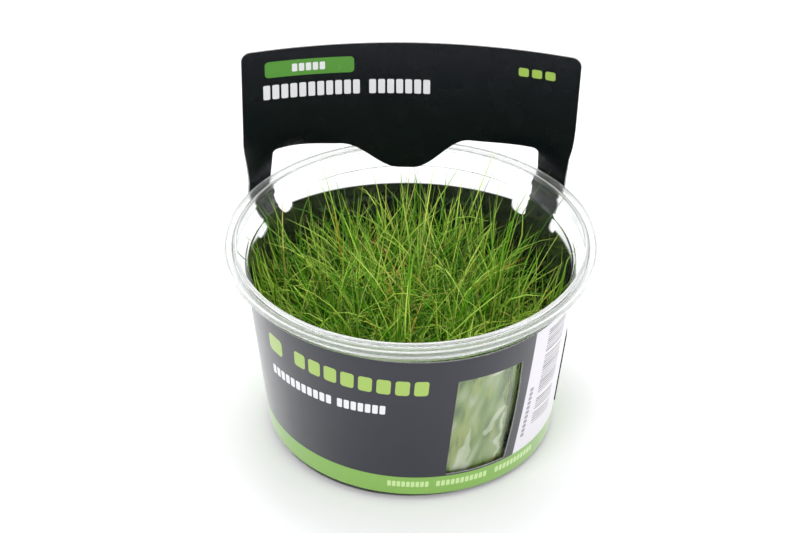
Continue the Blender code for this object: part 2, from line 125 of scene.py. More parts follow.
class Bench:
    """A material's node tree, with short calls for the nodes that the finishes share."""

    def __init__(self, name: str) -> None:
        """Start a material from its Principled shader.

        Args:
            name: the material's name.
        """
        self.material = bpy.data.materials.new(name)
        self.material.use_nodes = True
        self.tree = self.material.node_tree
        self.shader = self.tree.nodes["Principled BSDF"]

    def feed(self, socket: Socket, value: object) -> None:
        """Link a socket's output to an input, or set the input to a plain value.

        Args:
            socket: the input.
            value: an output socket, a number or a tuple.
        """
        if isinstance(value, Socket):
            self.tree.links.new(value, socket)
        else:
            socket.default_value = value

    def set(self, **values: object) -> None:
        """Set inputs of the shader by name, with _ for each space in the name."""
        for name, value in values.items():
            self.feed(self.shader.inputs[name.replace("_", " ")], value)

    def calc(self, operation: str, first: object, second: object = 0.0) -> Socket:
        """One step of arithmetic.

        Args:
            operation: a Math node's operation.
            first: the first number or socket.
            second: the second number or socket.

        Returns:
            The result's socket.
        """
        node = self.tree.nodes.new("ShaderNodeMath")
        node.operation = operation
        self.feed(node.inputs[0], first)
        self.feed(node.inputs[1], second)
        return node.outputs[0]

    def between(self, value: object, low: float, high: float) -> Socket:
        """A mask that is 1 where the value lies between two limits."""
        above = self.calc("GREATER_THAN", value, low)
        return self.calc("MULTIPLY", above, self.calc("LESS_THAN", value, high))

    def mix(self, share: object, first: object, second: object) -> Socket:
        """Mix two colours.

        Args:
            share: how much of the second colour shows, from 0 to 1.
            first: the colour at 0.
            second: the colour at 1.

        Returns:
            The mixed colour's socket.
        """
        node = self.tree.nodes.new("ShaderNodeMix")
        node.data_type = "RGBA"
        self.feed(node.inputs["Factor"], share)
        for socket, colour in ((node.inputs[6], first), (node.inputs[7], second)):
            self.feed(socket, (*colour, 1.0) if isinstance(colour, tuple) else colour)
        return node.outputs[2]

    def place(self) -> Socket:
        """The point's place on the object, in metres."""
        return self.tree.nodes.new("ShaderNodeTexCoord").outputs["Object"]

    def noise(self, scale: float, detail: float = 2.0, vector: object = None) -> Socket:
        """Soft random variation.

        Args:
            scale: how many cells lie in a metre.
            detail: how many finer layers are added.
            vector: where it is read, or None for the place on the object.

        Returns:
            The value's socket, from 0 to 1.
        """
        node = self.tree.nodes.new("ShaderNodeTexNoise")
        node.inputs["Scale"].default_value = scale
        node.inputs["Detail"].default_value = detail
        self.feed(node.inputs["Vector"], self.place() if vector is None else vector)
        return node.outputs["Fac"]

    def stretch(self, vector: object, amounts: Three) -> Socket:
        """Scale a vector.

        Args:
            vector: the vector's socket.
            amounts: how much it is scaled along X, Y and Z.

        Returns:
            The scaled vector's socket.
        """
        node = self.tree.nodes.new("ShaderNodeVectorMath")
        node.operation = "MULTIPLY"
        self.feed(node.inputs[0], vector)
        self.feed(node.inputs[1], amounts)
        return node.outputs[0]

    def fit(self, value: object, low: float, high: float, to_low: float, to_high: float) -> Socket:
        """Move a range of values to another range, without going past its ends.

        Args:
            value: the value.
            low: where the first range starts.
            high: where it ends.
            to_low: where the second range starts.
            to_high: where it ends.

        Returns:
            The moved value's socket.
        """
        node = self.tree.nodes.new("ShaderNodeMapRange")
        for socket, number in zip(node.inputs, (value, low, high, to_low, to_high)):
            self.feed(socket, number)
        return node.outputs[0]

    def vary(self, value: object, middle: float, less: float, more: float) -> Socket:
        """Let a number vary about its middle with soft noise, from a lesser to a greater share of it."""
        return self.fit(value, 0.3, 0.7, middle * less, middle * more)

    def ramp(self, value: object, *stops: Stop) -> Socket:
        """Turn a value into a colour on a ramp.

        Args:
            value: the value, from 0 to 1.
            stops: the place and the colour of each stop, from the lowest up.

        Returns:
            The colour's socket.
        """
        node = self.tree.nodes.new("ShaderNodeValToRGB")
        elements = node.color_ramp.elements
        elements[0].position, elements[1].position = stops[0][0], stops[-1][0]
        for place, _ in stops[1:-1]:
            elements.new(place)
        for element, (_, colour) in zip(elements, stops):
            element.color = (*colour, 1.0)
        self.feed(node.inputs[0], value)
        return node.outputs[0]

    def attribute(self, name: str) -> Socket:
        """The value of a mesh attribute."""
        node = self.tree.nodes.new("ShaderNodeAttribute")
        node.attribute_name = name
        return node.outputs["Fac"]

    def bump(self, height: object, depth: float, strength: float = 1.0) -> None:
        """Raise the surface by a height map.

        Args:
            height: the map, from 0 to 1.
            depth: how deep it is, in metres.
            strength: how much of it is used.
        """
        node = self.tree.nodes.new("ShaderNodeBump")
        node.inputs["Strength"].default_value = strength
        node.inputs["Distance"].default_value = depth
        self.feed(node.inputs["Height"], height)
        self.feed(self.shader.inputs["Normal"], node.outputs[0])


@dataclass(frozen=True)
class ClearPlastic:
    """Clear moulded plastic with faint flow marks and a little haze."""

    name: str = "clear_plastic_wall"
    roughness: float = 0.035
    haze: float = 0.015
    ior: float = 1.49
    tint: Colour = (0.97, 0.985, 0.98)
    flow_cells: float = 90.0

    def material(self) -> Material:
        """Make the material.

        Returns:
            The finished material.
        """
        bench = Bench(self.name)
        flow = bench.noise(self.flow_cells, 3.0)
        bench.set(
            Base_Color=(*self.tint, 1.0),
            Transmission_Weight=1.0 - self.haze,
            IOR=self.ior,
            Roughness=bench.vary(flow, self.roughness, 0.8, 1.2),
        )
        return bench.material


@dataclass(frozen=True)
class PrintedCard:
    """Printed card with a satin varnish.

    The print is laid out in the flat card's own measures: degrees round the card and millimetres of height.
    A row of blocks is (where it starts and ends, its lower and upper edge, how many blocks).
    """

    side: Face
    roughness: float = 0.33
    gloss: float = 0.5
    sheen: float = 0.0
    sheen_roughness: float = 0.4
    varnish_cells: float = 160.0
    fibre_cells: float = 1400.0
    fibre_depth: float = 0.012 * MM
    block: float = 0.76
    corner: float = 0.45
    bar_pitch: float = 0.82
    bar_weights: Point2 = (0.28, 0.7)
    print_slant: float = 0.09
    print_level: float = 26.0
    line_slope: float = 0.045
    line_level: float = -9.0
    bar_slope: float = 0.063
    bar_level: float = 45.0
    bow: float = 1.3
    bow_level: float = 32.0
    bow_reach: float = 26.0
    band_stretch: float = 0.76
    header_stretch: float = 0.8
    title: tuple[Row, ...] = (((-45.8, 4.9), (38.7, 43.8), 8), ((-60.5, -52.5), (37.6, 43.4), 1))
    subtitle: tuple[Row, ...] = (((-59.9, -29.9), (31.3, 34.4), 11), ((-27.5, -9.5), (31.3, 34.4), 7))
    label: tuple[Point2, Point2] = ((45.1, 84.0), (8.5, 52.0))
    ladder_span: Point2 = (53.0, 66.5)
    ladder_rises: tuple[Point2, ...] = ((40.8, 49.0), (26.6, 40.0), (21.2, 25.4), (16.4, 20.2))
    note: Row = ((13.5, 30.5), (47.4, 49.4), 11)
    stripe: tuple[Point2, Point2] = ((-180.5, 180.5), (0.0, 8.5))
    stripe_words: tuple[Row, ...] = (
        ((-7.0, 9.0), (4.9, 6.9), 9), ((12.0, 33.0), (4.9, 6.9), 11), ((37.0, 58.0), (4.9, 6.9), 11)
    )
    header_bar: Row = ((-49.75, -19.5), (88.5, 93.4), 1)
    header_words: tuple[Row, ...] = (
        ((-40.6, -29.4), (89.8, 92.2), 5), ((-50.4, -17.6), (81.8, 86.2), 11), ((-14.4, 6.5), (81.8, 86.2), 7)
    )
    header_dots: Row = ((36.6, 49.0), (90.0, 92.6), 3)
    inner_words: tuple[Row, ...] = (
        ((-36.0, -6.0), (42.6, 44.0), 16), ((-2.0, 28.0), (42.6, 44.0), 16),
        ((-32.0, -12.0), (39.2, 40.6), 10), ((2.0, 26.0), (39.2, 40.6), 12),
    )

    def material(self) -> Material:
        """Make the material.

        Returns:
            The finished material.
        """
        bench = Bench(f"printed_card_{self.side.name.lower()}")
        uv = bench.tree.nodes.new("ShaderNodeUVMap")
        uv.uv_map = Sleeve.UV_NAME
        parts = bench.tree.nodes.new("ShaderNodeSeparateXYZ")
        bench.feed(parts.inputs[0], uv.outputs[0])
        degrees = bench.calc("MULTIPLY", bench.calc("SUBTRACT", parts.outputs[0], 0.5), 360.0)
        height = bench.calc("MULTIPLY", parts.outputs[1], Sleeve.UV_HEIGHT / MM)
        lay_out = self.front_print if self.side is Face.OUTSIDE else self.header_print
        colour = lay_out(bench, degrees, height)
        varnish = bench.noise(self.varnish_cells, 2.0)
        bench.set(
            Base_Color=colour,
            Roughness=bench.vary(varnish, self.roughness, 0.88, 1.12),
            Specular_IOR_Level=self.gloss,
            Sheen_Weight=self.sheen,
            Sheen_Roughness=self.sheen_roughness,
        )
        bench.bump(bench.noise(self.fibre_cells, 3.0), self.fibre_depth, 0.5)
        return bench.material

    def word(self, bench: Bench, across: object, height: object, row: Row, stretch: float) -> Socket:
        """A generic stand-in for a word: a row of plain blocks of one size with rounded corners.

        Args:
            bench: the material's nodes.
            across: the place along the line, in degrees round the card.
            height: the height on the flat card, in millimetres.
            row: the row's span, rise and number of blocks.
            stretch: how many millimetres of card a degree takes.

        Returns:
            A mask that is 1 on the blocks.
        """
        (start, end), (low, high), count = row
        pitch = (end - start) / (count - 1 + self.block)
        half = (pitch * self.block * stretch / 2, (high - low) / 2)
        corner = self.corner * min(half)
        steps = bench.calc("DIVIDE", bench.calc("SUBTRACT", across, start), pitch)
        from_middle = bench.calc("ABSOLUTE", bench.calc("SUBTRACT", bench.calc("FRACT", steps), self.block / 2))
        sideways = bench.calc("MULTIPLY", from_middle, pitch * stretch)
        sideways = bench.calc("SUBTRACT", sideways, half[0] - corner)
        upwards = bench.calc("ABSOLUTE", bench.calc("SUBTRACT", height, (low + high) / 2))
        upwards = bench.calc("SUBTRACT", upwards, half[1] - corner)
        reach = [bench.calc("POWER", bench.calc("MAXIMUM", part, 0.0), 2.0) for part in (sideways, upwards)]
        block = bench.calc("LESS_THAN", bench.calc("ADD", *reach), corner**2)
        return bench.calc("MULTIPLY", block, bench.between(across, start - 0.1, end + 0.1))

    def words(
        self, bench: Bench, under: object, ink: Ink, across: object, height: object, stretch: float, *rows: Row
    ) -> Socket:
        """Print rows of blocks in one ink over a colour.

        Args:
            bench: the material's nodes.
            under: the colour that is printed on.
            ink: the blocks' ink.
            across: the place along the line, in degrees round the card.
            height: the height on the flat card, in millimetres.
            stretch: how many millimetres of card a degree takes.
            rows: the rows.

        Returns:
            The new colour's socket.
        """
        for row in rows:
            under = bench.mix(self.word(bench, across, height, row, stretch), under, ink.value)
        return under

    def bars(self, bench: Bench, across: object, height: object, span: Point2, rise: Point2) -> Socket:
        """A block of thin lines of uneven weight, which stands for a striped code.

        Args:
            bench: the material's nodes.
            across: the place across the lines, in degrees round the card.
            height: the place from line to line, in millimetres.
            span: where the lines start and end, in degrees.
            rise: where the block starts and ends, in millimetres.

        Returns:
            A mask that is 1 on the lines.
        """
        steps = bench.calc("DIVIDE", height, self.bar_pitch)
        chance = bench.tree.nodes.new("ShaderNodeTexWhiteNoise")
        chance.noise_dimensions = "1D"
        bench.feed(chance.inputs["W"], bench.calc("FLOOR", steps))
        weight = bench.fit(chance.outputs["Value"], 0.0, 1.0, *self.bar_weights)
        line = bench.calc("LESS_THAN", bench.calc("FRACT", steps), weight)
        return bench.calc("MULTIPLY", line, self.panel(bench, across, height, span, rise))

    def panel(self, bench: Bench, across: object, height: object, span: Point2, rise: Point2) -> Socket:
        """A mask that is 1 in a rectangle of the flat card."""
        return bench.calc("MULTIPLY", bench.between(across, *span), bench.between(height, *rise))

    def aslant(self, bench: Bench, first: object, second: object, slope: float, level: float) -> Socket:
        """The first measure, moved by a share of the second one's way from a level."""
        return bench.calc("ADD", first, bench.calc("MULTIPLY", bench.calc("SUBTRACT", second, level), slope))

    def bowed(self, bench: Bench, across: object, height: object) -> Socket:
        """Move places along a line so that an upright edge bows out about its middle height.

        Args:
            bench: the material's nodes.
            across: the place along the line, in degrees round the card.
            height: the height on the flat card, in millimetres.

        Returns:
            The moved place's socket.
        """
        offset = bench.calc("DIVIDE", bench.calc("SUBTRACT", height, self.bow_level), self.bow_reach)
        square = bench.calc("POWER", bench.calc("ABSOLUTE", offset), 2.0)
        swell = bench.calc("MAXIMUM", bench.calc("SUBTRACT", 1.0, square), 0.0)
        return bench.calc("SUBTRACT", across, bench.calc("MULTIPLY", swell, self.bow))

    def front_print(self, bench: Bench, degrees: object, height: object) -> Socket:
        """The outside of the card: dark, with a stripe, a white label and plain blocks for the words.

        Args:
            bench: the material's nodes.
            degrees: the place round the card from the middle of its back.
            height: the height on the flat card, in millimetres.

        Returns:
            The colour's socket.
        """
        side = bench.calc("SIGN", degrees)
        around = bench.calc("SUBTRACT", bench.calc("MULTIPLY", side, 180.0), degrees)
        leaning = self.aslant(bench, around, height, -self.print_slant, self.print_level)
        stretch = self.band_stretch
        colour = self.words(bench, Ink.CHARCOAL.value, Ink.ACCENT, leaning, height, stretch, *self.title)
        line = self.aslant(bench, height, around, -self.line_slope, self.line_level)
        colour = self.words(bench, colour, Ink.WHITE, leaning, line, stretch, *self.subtitle)
        bowed = self.bowed(bench, leaning, height)
        colour = bench.mix(self.panel(bench, bowed, height, *self.label), colour, Ink.LABEL_WHITE.value)
        ladder = self.aslant(bench, height, around, self.bar_slope, self.bar_level)
        for rise in self.ladder_rises:
            bars = self.bars(bench, bowed, ladder, self.ladder_span, rise)
            colour = bench.mix(bars, colour, Ink.LABEL_GREY.value)
        colour = self.words(bench, colour, Ink.NOTE_GREY, ladder, bowed, 1 / stretch, self.note)
        colour = bench.mix(self.panel(bench, around, height, *self.stripe), colour, Ink.STRIPE.value)
        return self.words(bench, colour, Ink.PALE_GREEN, leaning, height, stretch, *self.stripe_words)

    def header_print(self, bench: Bench, degrees: object, height: object) -> Socket:
        """The inside of the card, which shows on the header: near-black with a green bar and plain blocks.

        Args:
            bench: the material's nodes.
            degrees: the place across the card from the middle of its back.
            height: the height on the flat card, in millimetres.

        Returns:
            The colour's socket.
        """
        colour = Ink.NEAR_BLACK.value
        for ink, rows in (
            (Ink.TITLE_GREEN, [self.header_bar]), (Ink.WHITE, self.header_words),
            (Ink.ACCENT, [self.header_dots]), (Ink.FAINT_GREY, self.inner_words),
        ):
            colour = self.words(bench, colour, ink, degrees, height, self.header_stretch, *rows)
        return colour


@dataclass(frozen=True)
class CutPaper:
    """The raw edge of the card, where its fibres show."""

    pale: Colour = (0.42, 0.42, 0.40)
    dark: Colour = (0.20, 0.20, 0.20)
    fibre_cells: float = 2600.0
    roughness: float = 0.85

    def material(self) -> Material:
        """Make the material.

        Returns:
            The finished material.
        """
        bench = Bench("card_cut_edge")
        fibres = bench.noise(self.fibre_cells, 4.0)
        colour = bench.mix(bench.fit(fibres, 0.35, 0.65, 0.0, 1.0), self.dark, self.pale)
        bench.set(Base_Color=colour, Roughness=self.roughness)
        bench.bump(fibres, 0.04 * MM)
        return bench.material


@dataclass(frozen=True)
class SetGel:
    """Milky culture gel."""

    name: str = "culture_gel"
    pale: Colour = (0.72, 0.76, 0.62)
    green: Colour = (0.42, 0.52, 0.26)
    transmission: float = 0.35
    roughness: float = 0.22
    ior: float = 1.34
    cloud_cells: float = 230.0
    grain_cells: float = 600.0
    grain_depth: float = 0.15 * MM

    def material(self) -> Material:
        """Make the material.

        Returns:
            The finished material.
        """
        bench = Bench(self.name)
        cloud = bench.noise(self.cloud_cells, 4.0)
        bench.set(
            Base_Color=bench.mix(bench.fit(cloud, 0.35, 0.7, 0.0, 1.0), self.green, self.pale),
            Roughness=bench.vary(cloud, self.roughness, 1.0, 2.0),
            Transmission_Weight=self.transmission,
            IOR=self.ior,
        )
        bench.bump(bench.noise(self.grain_cells, 3.0), self.grain_depth)
        return bench.material


@dataclass(frozen=True)
class WallFilm:
    """The wet film on the wall: sage green where it is thin, milky where it is thick, and white at two painted
    highlights.
    """

    deep: Colour = (0.13, 0.24, 0.03)
    sage: Colour = (0.30, 0.46, 0.11)
    milk: Colour = (0.82, 0.88, 0.64)
    strand: Colour = (0.55, 0.63, 0.15)
    strand_cells: float = 330.0
    strand_reach: Three = (1.0, 1.0, 0.22)
    sage_at: float = 0.32
    ends: Point2 = (0.05, 0.9)
    transmission: float = 0.0
    roughness: float = 0.2
    ior: float = 1.34

    def material(self) -> Material:
        """Make the material.

        Returns:
            The finished material.
        """
        bench = Bench("wall_moisture")
        milk = bench.attribute(Gel.MILK)
        wet = bench.ramp(milk, (self.ends[0], self.deep), (self.sage_at, self.sage), (self.ends[1], self.milk))
        strands = bench.noise(self.strand_cells, 2.0, bench.stretch(bench.place(), self.strand_reach))
        thin = bench.fit(milk, 0.3, 0.6, 1.0, 0.0)
        share = bench.calc("MULTIPLY", bench.fit(strands, 0.5, 0.62, 0.0, 0.7), thin)
        bench.set(
            Base_Color=bench.mix(share, wet, self.strand),
            Roughness=bench.vary(strands, self.roughness, 0.8, 1.4),
            Transmission_Weight=self.transmission,
            IOR=self.ior,
        )
        bench.bump(strands, 0.05 * MM)
        return bench.material


@dataclass(frozen=True)
class GrassBlade:
    """Fine wiry blades: each one has its own green, darkened towards its foot by painted shade, and some are
    old and straw-coloured.
    """

    deep: Colour = (0.03, 0.13, 0.003)
    fresh: Colour = (0.14, 0.41, 0.01)
    # The palest green of real fresh blades, pushed brighter to stand in for highlights on them: partly painted
    # highlight.
    bright: Colour = (0.60, 0.83, 0.12)
    straw: Colour = (0.66, 0.56, 0.15)
    old: Colour = (0.75, 0.38, 0.05)
    # Painted shade: the dark colour that the lower part of each blade takes for the shade deep in the tuft.
    foot: Colour = (0.02, 0.06, 0.005)
    fresh_at: float = 0.42
    bright_at: float = 0.86
    straw_at: float = 0.93
    roughness: Point2 = (0.34, 0.48)
    gloss: float = 0.42
    glow: float = 0.15
    glow_radii: Colour = (0.25, 0.8, 0.08)
    glow_scale: float = 0.6 * MM
    streak_cells: float = 900.0

    def material(self) -> Material:
        """Make the material.

        Returns:
            The finished material.
        """
        bench = Bench("grass_blade")
        along = bench.attribute(Grass.ALONG)
        green = bench.ramp(
            bench.attribute(Grass.TINT),
            (0.0, self.deep),
            (self.fresh_at, self.fresh),
            (self.bright_at, self.bright),
            (self.straw_at, self.straw),
            (1.0, self.old),
        )
        streak = bench.noise(self.streak_cells, 2.0)
        # Painted shade: the lower part of each blade is mixed towards the dark foot colour.
        colour = bench.mix(bench.fit(along, 0.3, 0.8, 0.3, 1.0), self.foot, green)
        near_tip = bench.fit(along, 0.85, 1.0, 0.0, 0.4)
        dry = bench.calc("MULTIPLY", near_tip, bench.fit(streak, 0.45, 0.6, 0.0, 1.0))
        bench.set(
            Base_Color=bench.mix(dry, colour, self.straw),
            Roughness=bench.fit(streak, 0.3, 0.7, *self.roughness),
            Specular_IOR_Level=self.gloss,
            Subsurface_Weight=self.glow,
            Subsurface_Radius=self.glow_radii,
            Subsurface_Scale=self.glow_scale,
        )
        return bench.material


@dataclass(frozen=True)
class StudioPaper:
    """The pale floor."""

    colour: Colour = (0.93, 0.93, 0.94)
    shade: Colour = (0.9207, 0.9207, 0.9306)
    roughness: float = 0.9

    def material(self) -> Material:
        """Make the material.

        Returns:
            The finished material.
        """
        bench = Bench("studio_paper")
        tone = bench.noise(3.0, 2.0)
        bench.set(Base_Color=bench.mix(tone, self.colour, self.shade), Roughness=self.roughness)
        return bench.material


def link_piece(name: str, mesh: bpy.types.Mesh, materials: list[Material]) -> Piece:
    """Put a mesh into the scene.

    Args:
        name: the object's name.
        mesh: its mesh.
        materials: its materials, in the order of the faces' numbers.

    Returns:
        The new object.
    """
    for material in materials:
        mesh.materials.append(material)
    mesh.name = name
    obj = bpy.data.objects.new(name, mesh)
    bpy.context.scene.collection.objects.link(obj)
    return obj


def hand_over(obj: Piece, slot: Slot, *nodes: str) -> None:
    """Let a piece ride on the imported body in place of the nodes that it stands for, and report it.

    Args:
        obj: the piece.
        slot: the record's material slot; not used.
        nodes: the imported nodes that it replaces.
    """
    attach(obj, BODY)
    if nodes:
        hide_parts(*nodes)
    LOG.info("%s: %d faces, for %s", obj.name, len(obj.data.polygons), ", ".join(nodes) or "no node")


def rounded(profile: list[Three], steps: int = 5) -> list[Point2]:
    """Round the corners of an open profile.

    Args:
        profile: (radius, height, corner size) of each point.
        steps: how many steps a corner takes.

    Returns:
        The points of the rounded profile.
    """
    points = [profile[0][:2]]
    for before, corner, after in zip(profile, profile[1:], profile[2:]):
        middle = Vector(corner[:2])
        arrive, leave = Vector(before[:2]) - middle, Vector(after[:2]) - middle
        reach = min(corner[2], arrive.length * CORNER_SHARE, leave.length * CORNER_SHARE)
        if reach < SMALLEST_CORNER:
            points.append(tuple(middle))
            continue
        start, end = middle + arrive.normalized() * reach, middle + leave.normalized() * reach
        for step in range(steps + 1):
            share = step / steps
            bend = start.lerp(middle, share).lerp(middle.lerp(end, share), share)
            points.append(tuple(bend))
    points.append(profile[-1][:2])
    return points


def take_mesh(name: str, bm: bmesh.types.BMesh) -> bpy.types.Mesh:
    """Keep an edited shape as a mesh.

    Args:
        name: the mesh's name.
        bm: the edited shape, which is used up.

    Returns:
        The new mesh.
    """
    mesh = bpy.data.meshes.new(name)
    bm.to_mesh(mesh)
    bm.free()
    return mesh


def turned_mesh(name: str, profile: list[Point2], segments: int) -> bpy.types.Mesh:
    """Turn a profile round the Z axis into a closed body.

    Args:
        name: the mesh's name.
        profile: (radius, height) points, from the axis and back to it.
        segments: how many steps go round.

    Returns:
        The smooth-shaded mesh.
    """
    bm = bmesh.new()
    rings = []
    turns = [2 * math.pi * step / segments for step in range(segments)]
    for radius, height in profile:
        around = turns if radius else [0.0]
        spots = [(radius * math.cos(turn), radius * math.sin(turn), height) for turn in around]
        rings.append([bm.verts.new(spot) for spot in spots])
    for lower, upper in zip(rings, rings[1:]):
        for step in range(segments):
            after = (step + 1) % segments
            corners = [lower[step % len(lower)], lower[after % len(lower)]]
            corners += [upper[after % len(upper)], upper[step % len(upper)]]
            bm.faces.new(list(dict.fromkeys(corners)))
    bmesh.ops.recalc_face_normals(bm, faces=bm.faces)
    mesh = take_mesh(name, bm)
    mesh.shade_smooth()
    return mesh


def ripple(across: float, up: float, layer: float) -> float:
    """Soft noise at a spot of one layer, from -1 to 1."""
    return noise.noise(Vector((across, up, layer)))


def smooth_step(value: float, low: float, high: float) -> float:
    """Rise smoothly from 0 at low to 1 at high."""
    share = min(max((value - low) / (high - low), 0.0), 1.0)
    return share * share * (3 - 2 * share)


@dataclass
class Cup:
    """The clear tub: recessed foot, tapered wall, shoulder, collar and the flange that a lid presses over.

    The zones of its surface differ a little in haze, as the collar, the flange and its edges are rougher.
    """

    rim_radius: float = 50.5 * MM
    rim_height: float = 58.0 * MM
    foot_radius: float = 38.36 * MM
    taper: float = 0.114
    wall: float = 0.6 * MM
    base_recess: float = 0.6 * MM
    recess_radius: float = 32.0 * MM
    shoulder_height: float = 52.4 * MM
    shoulder_rise: float = 0.5 * MM
    collar_radius: float = 48.1 * MM
    lip_drop: float = 1.8 * MM
    bead_depth: float = 0.5 * MM
    bead_width: float = 0.5 * MM
    bead_rise: float = 0.6 * MM
    bead_slope: float = 0.3 * MM
    bead_corner: float = 0.4 * MM
    bead_foot: Point2 = (0.9 * MM, 1.5 * MM)
    toe: float = 1.6 * MM
    toe_tuck: float = 0.5 * MM
    floor_corner: float = 1.8 * MM
    ledge_start: float = 0.3 * MM
    draft: float = 0.1 * MM
    soft: float = 0.8 * MM
    fine: float = 0.3 * MM
    edge_width: float = 0.35 * MM
    segments: int = 216
    wall_finish: ClearPlastic = ClearPlastic()
    collar_finish: ClearPlastic = ClearPlastic("clear_plastic_collar", 0.12, 0.03, 1.49, (0.95, 0.98, 0.97))
    flange_finish: ClearPlastic = ClearPlastic("clear_plastic_flange", 0.2, 0.06, 1.49, (0.965, 0.975, 0.972))
    edge_finish: ClearPlastic = ClearPlastic("clear_plastic_edge", 0.15, 0.42, 1.49, (0.985, 0.985, 0.985))

    def wall_radius(self, height: float) -> float:
        """Outer radius of the tapered wall."""
        return self.foot_radius + self.taper * height

    def profile(self) -> list[Point2]:
        """The wall's outline, up the outside and down the inside.

        Returns:
            (radius, height) points, from the axis and back to it.
        """
        soft, fine, wall, draft = self.soft, self.fine, self.wall, self.draft
        shoulder = self.wall_radius(self.shoulder_height)
        ledge = self.shoulder_height + self.shoulder_rise
        top = self.rim_height
        skirt = top - self.lip_drop
        floor = self.base_recess + wall
        collar = self.collar_radius
        bead = collar - wall - self.bead_depth
        corners = [
            (0.0, self.base_recess, 0.0),
            (self.recess_radius, self.base_recess, fine),
            (self.recess_radius + soft, 0.0, fine),
            (self.foot_radius - self.toe_tuck, 0.0, soft),
            (self.wall_radius(self.toe), self.toe, soft),
            (shoulder, self.shoulder_height, fine),
            (shoulder + self.ledge_start, ledge, fine),
            (collar, ledge, soft),
            (collar + draft, top - wall, fine),
            (self.rim_radius - wall, top - wall, fine),
            (self.rim_radius - wall, skirt, fine),
            (self.rim_radius, skirt, fine),
            (self.rim_radius, top, self.edge_width),
            (bead + self.bead_width + self.bead_slope, top, fine),
            (bead + self.bead_width, top + self.bead_rise, self.bead_corner),
            (bead, top + self.bead_rise, self.bead_corner),
            (bead, top - self.bead_foot[0], fine),
            (collar - wall, top - self.bead_foot[1], fine),
            (collar - wall - draft, ledge + wall, soft),
            (shoulder, ledge + wall, fine),
            (shoulder - wall, self.shoulder_height, fine),
            (self.wall_radius(floor) - wall, floor, self.floor_corner),
            (0.0, floor, 0.0),
        ]
        return rounded(corners)

    def zone(self, radius: float, height: float) -> Zone:
        """Find the zone of the cup that a place belongs to.

        Args:
            radius: the place's distance from the axis.
            height: its height above the foot.

        Returns:
            The flange's outer and lower edges and the bead's top are edges. Below them come the flange, the
            collar and the wall.
        """
        if height < self.shoulder_height + self.shoulder_rise:
            return Zone.WALL
        outer = radius > self.rim_radius - self.edge_width and height > self.rim_height - self.edge_width
        skirt = self.rim_height - self.lip_drop + self.edge_width
        lower = radius > self.rim_radius - self.wall - self.draft and height < skirt
        bead = height > self.rim_height + 0.5 * self.bead_rise and radius < self.collar_radius
        if outer or lower or bead:
            return Zone.EDGE
        return Zone.FLANGE if height > self.rim_height - self.wall - self.draft else Zone.COLLAR

    def build(self) -> Piece:
        """Make the cup.

        Returns:
            The cup's object.
        """
        mesh = turned_mesh("cup_wall", self.profile(), self.segments)
        for face in mesh.polygons:
            face.material_index = self.zone(face.center.xy.length, face.center.z).value
        finishes = (self.wall_finish, self.collar_finish, self.flange_finish, self.edge_finish)
        cup = link_piece("moulded_cup", mesh, [finish.material() for finish in finishes])
        hand_over(cup, Slot.PLASTIC, "cup")
        return cup


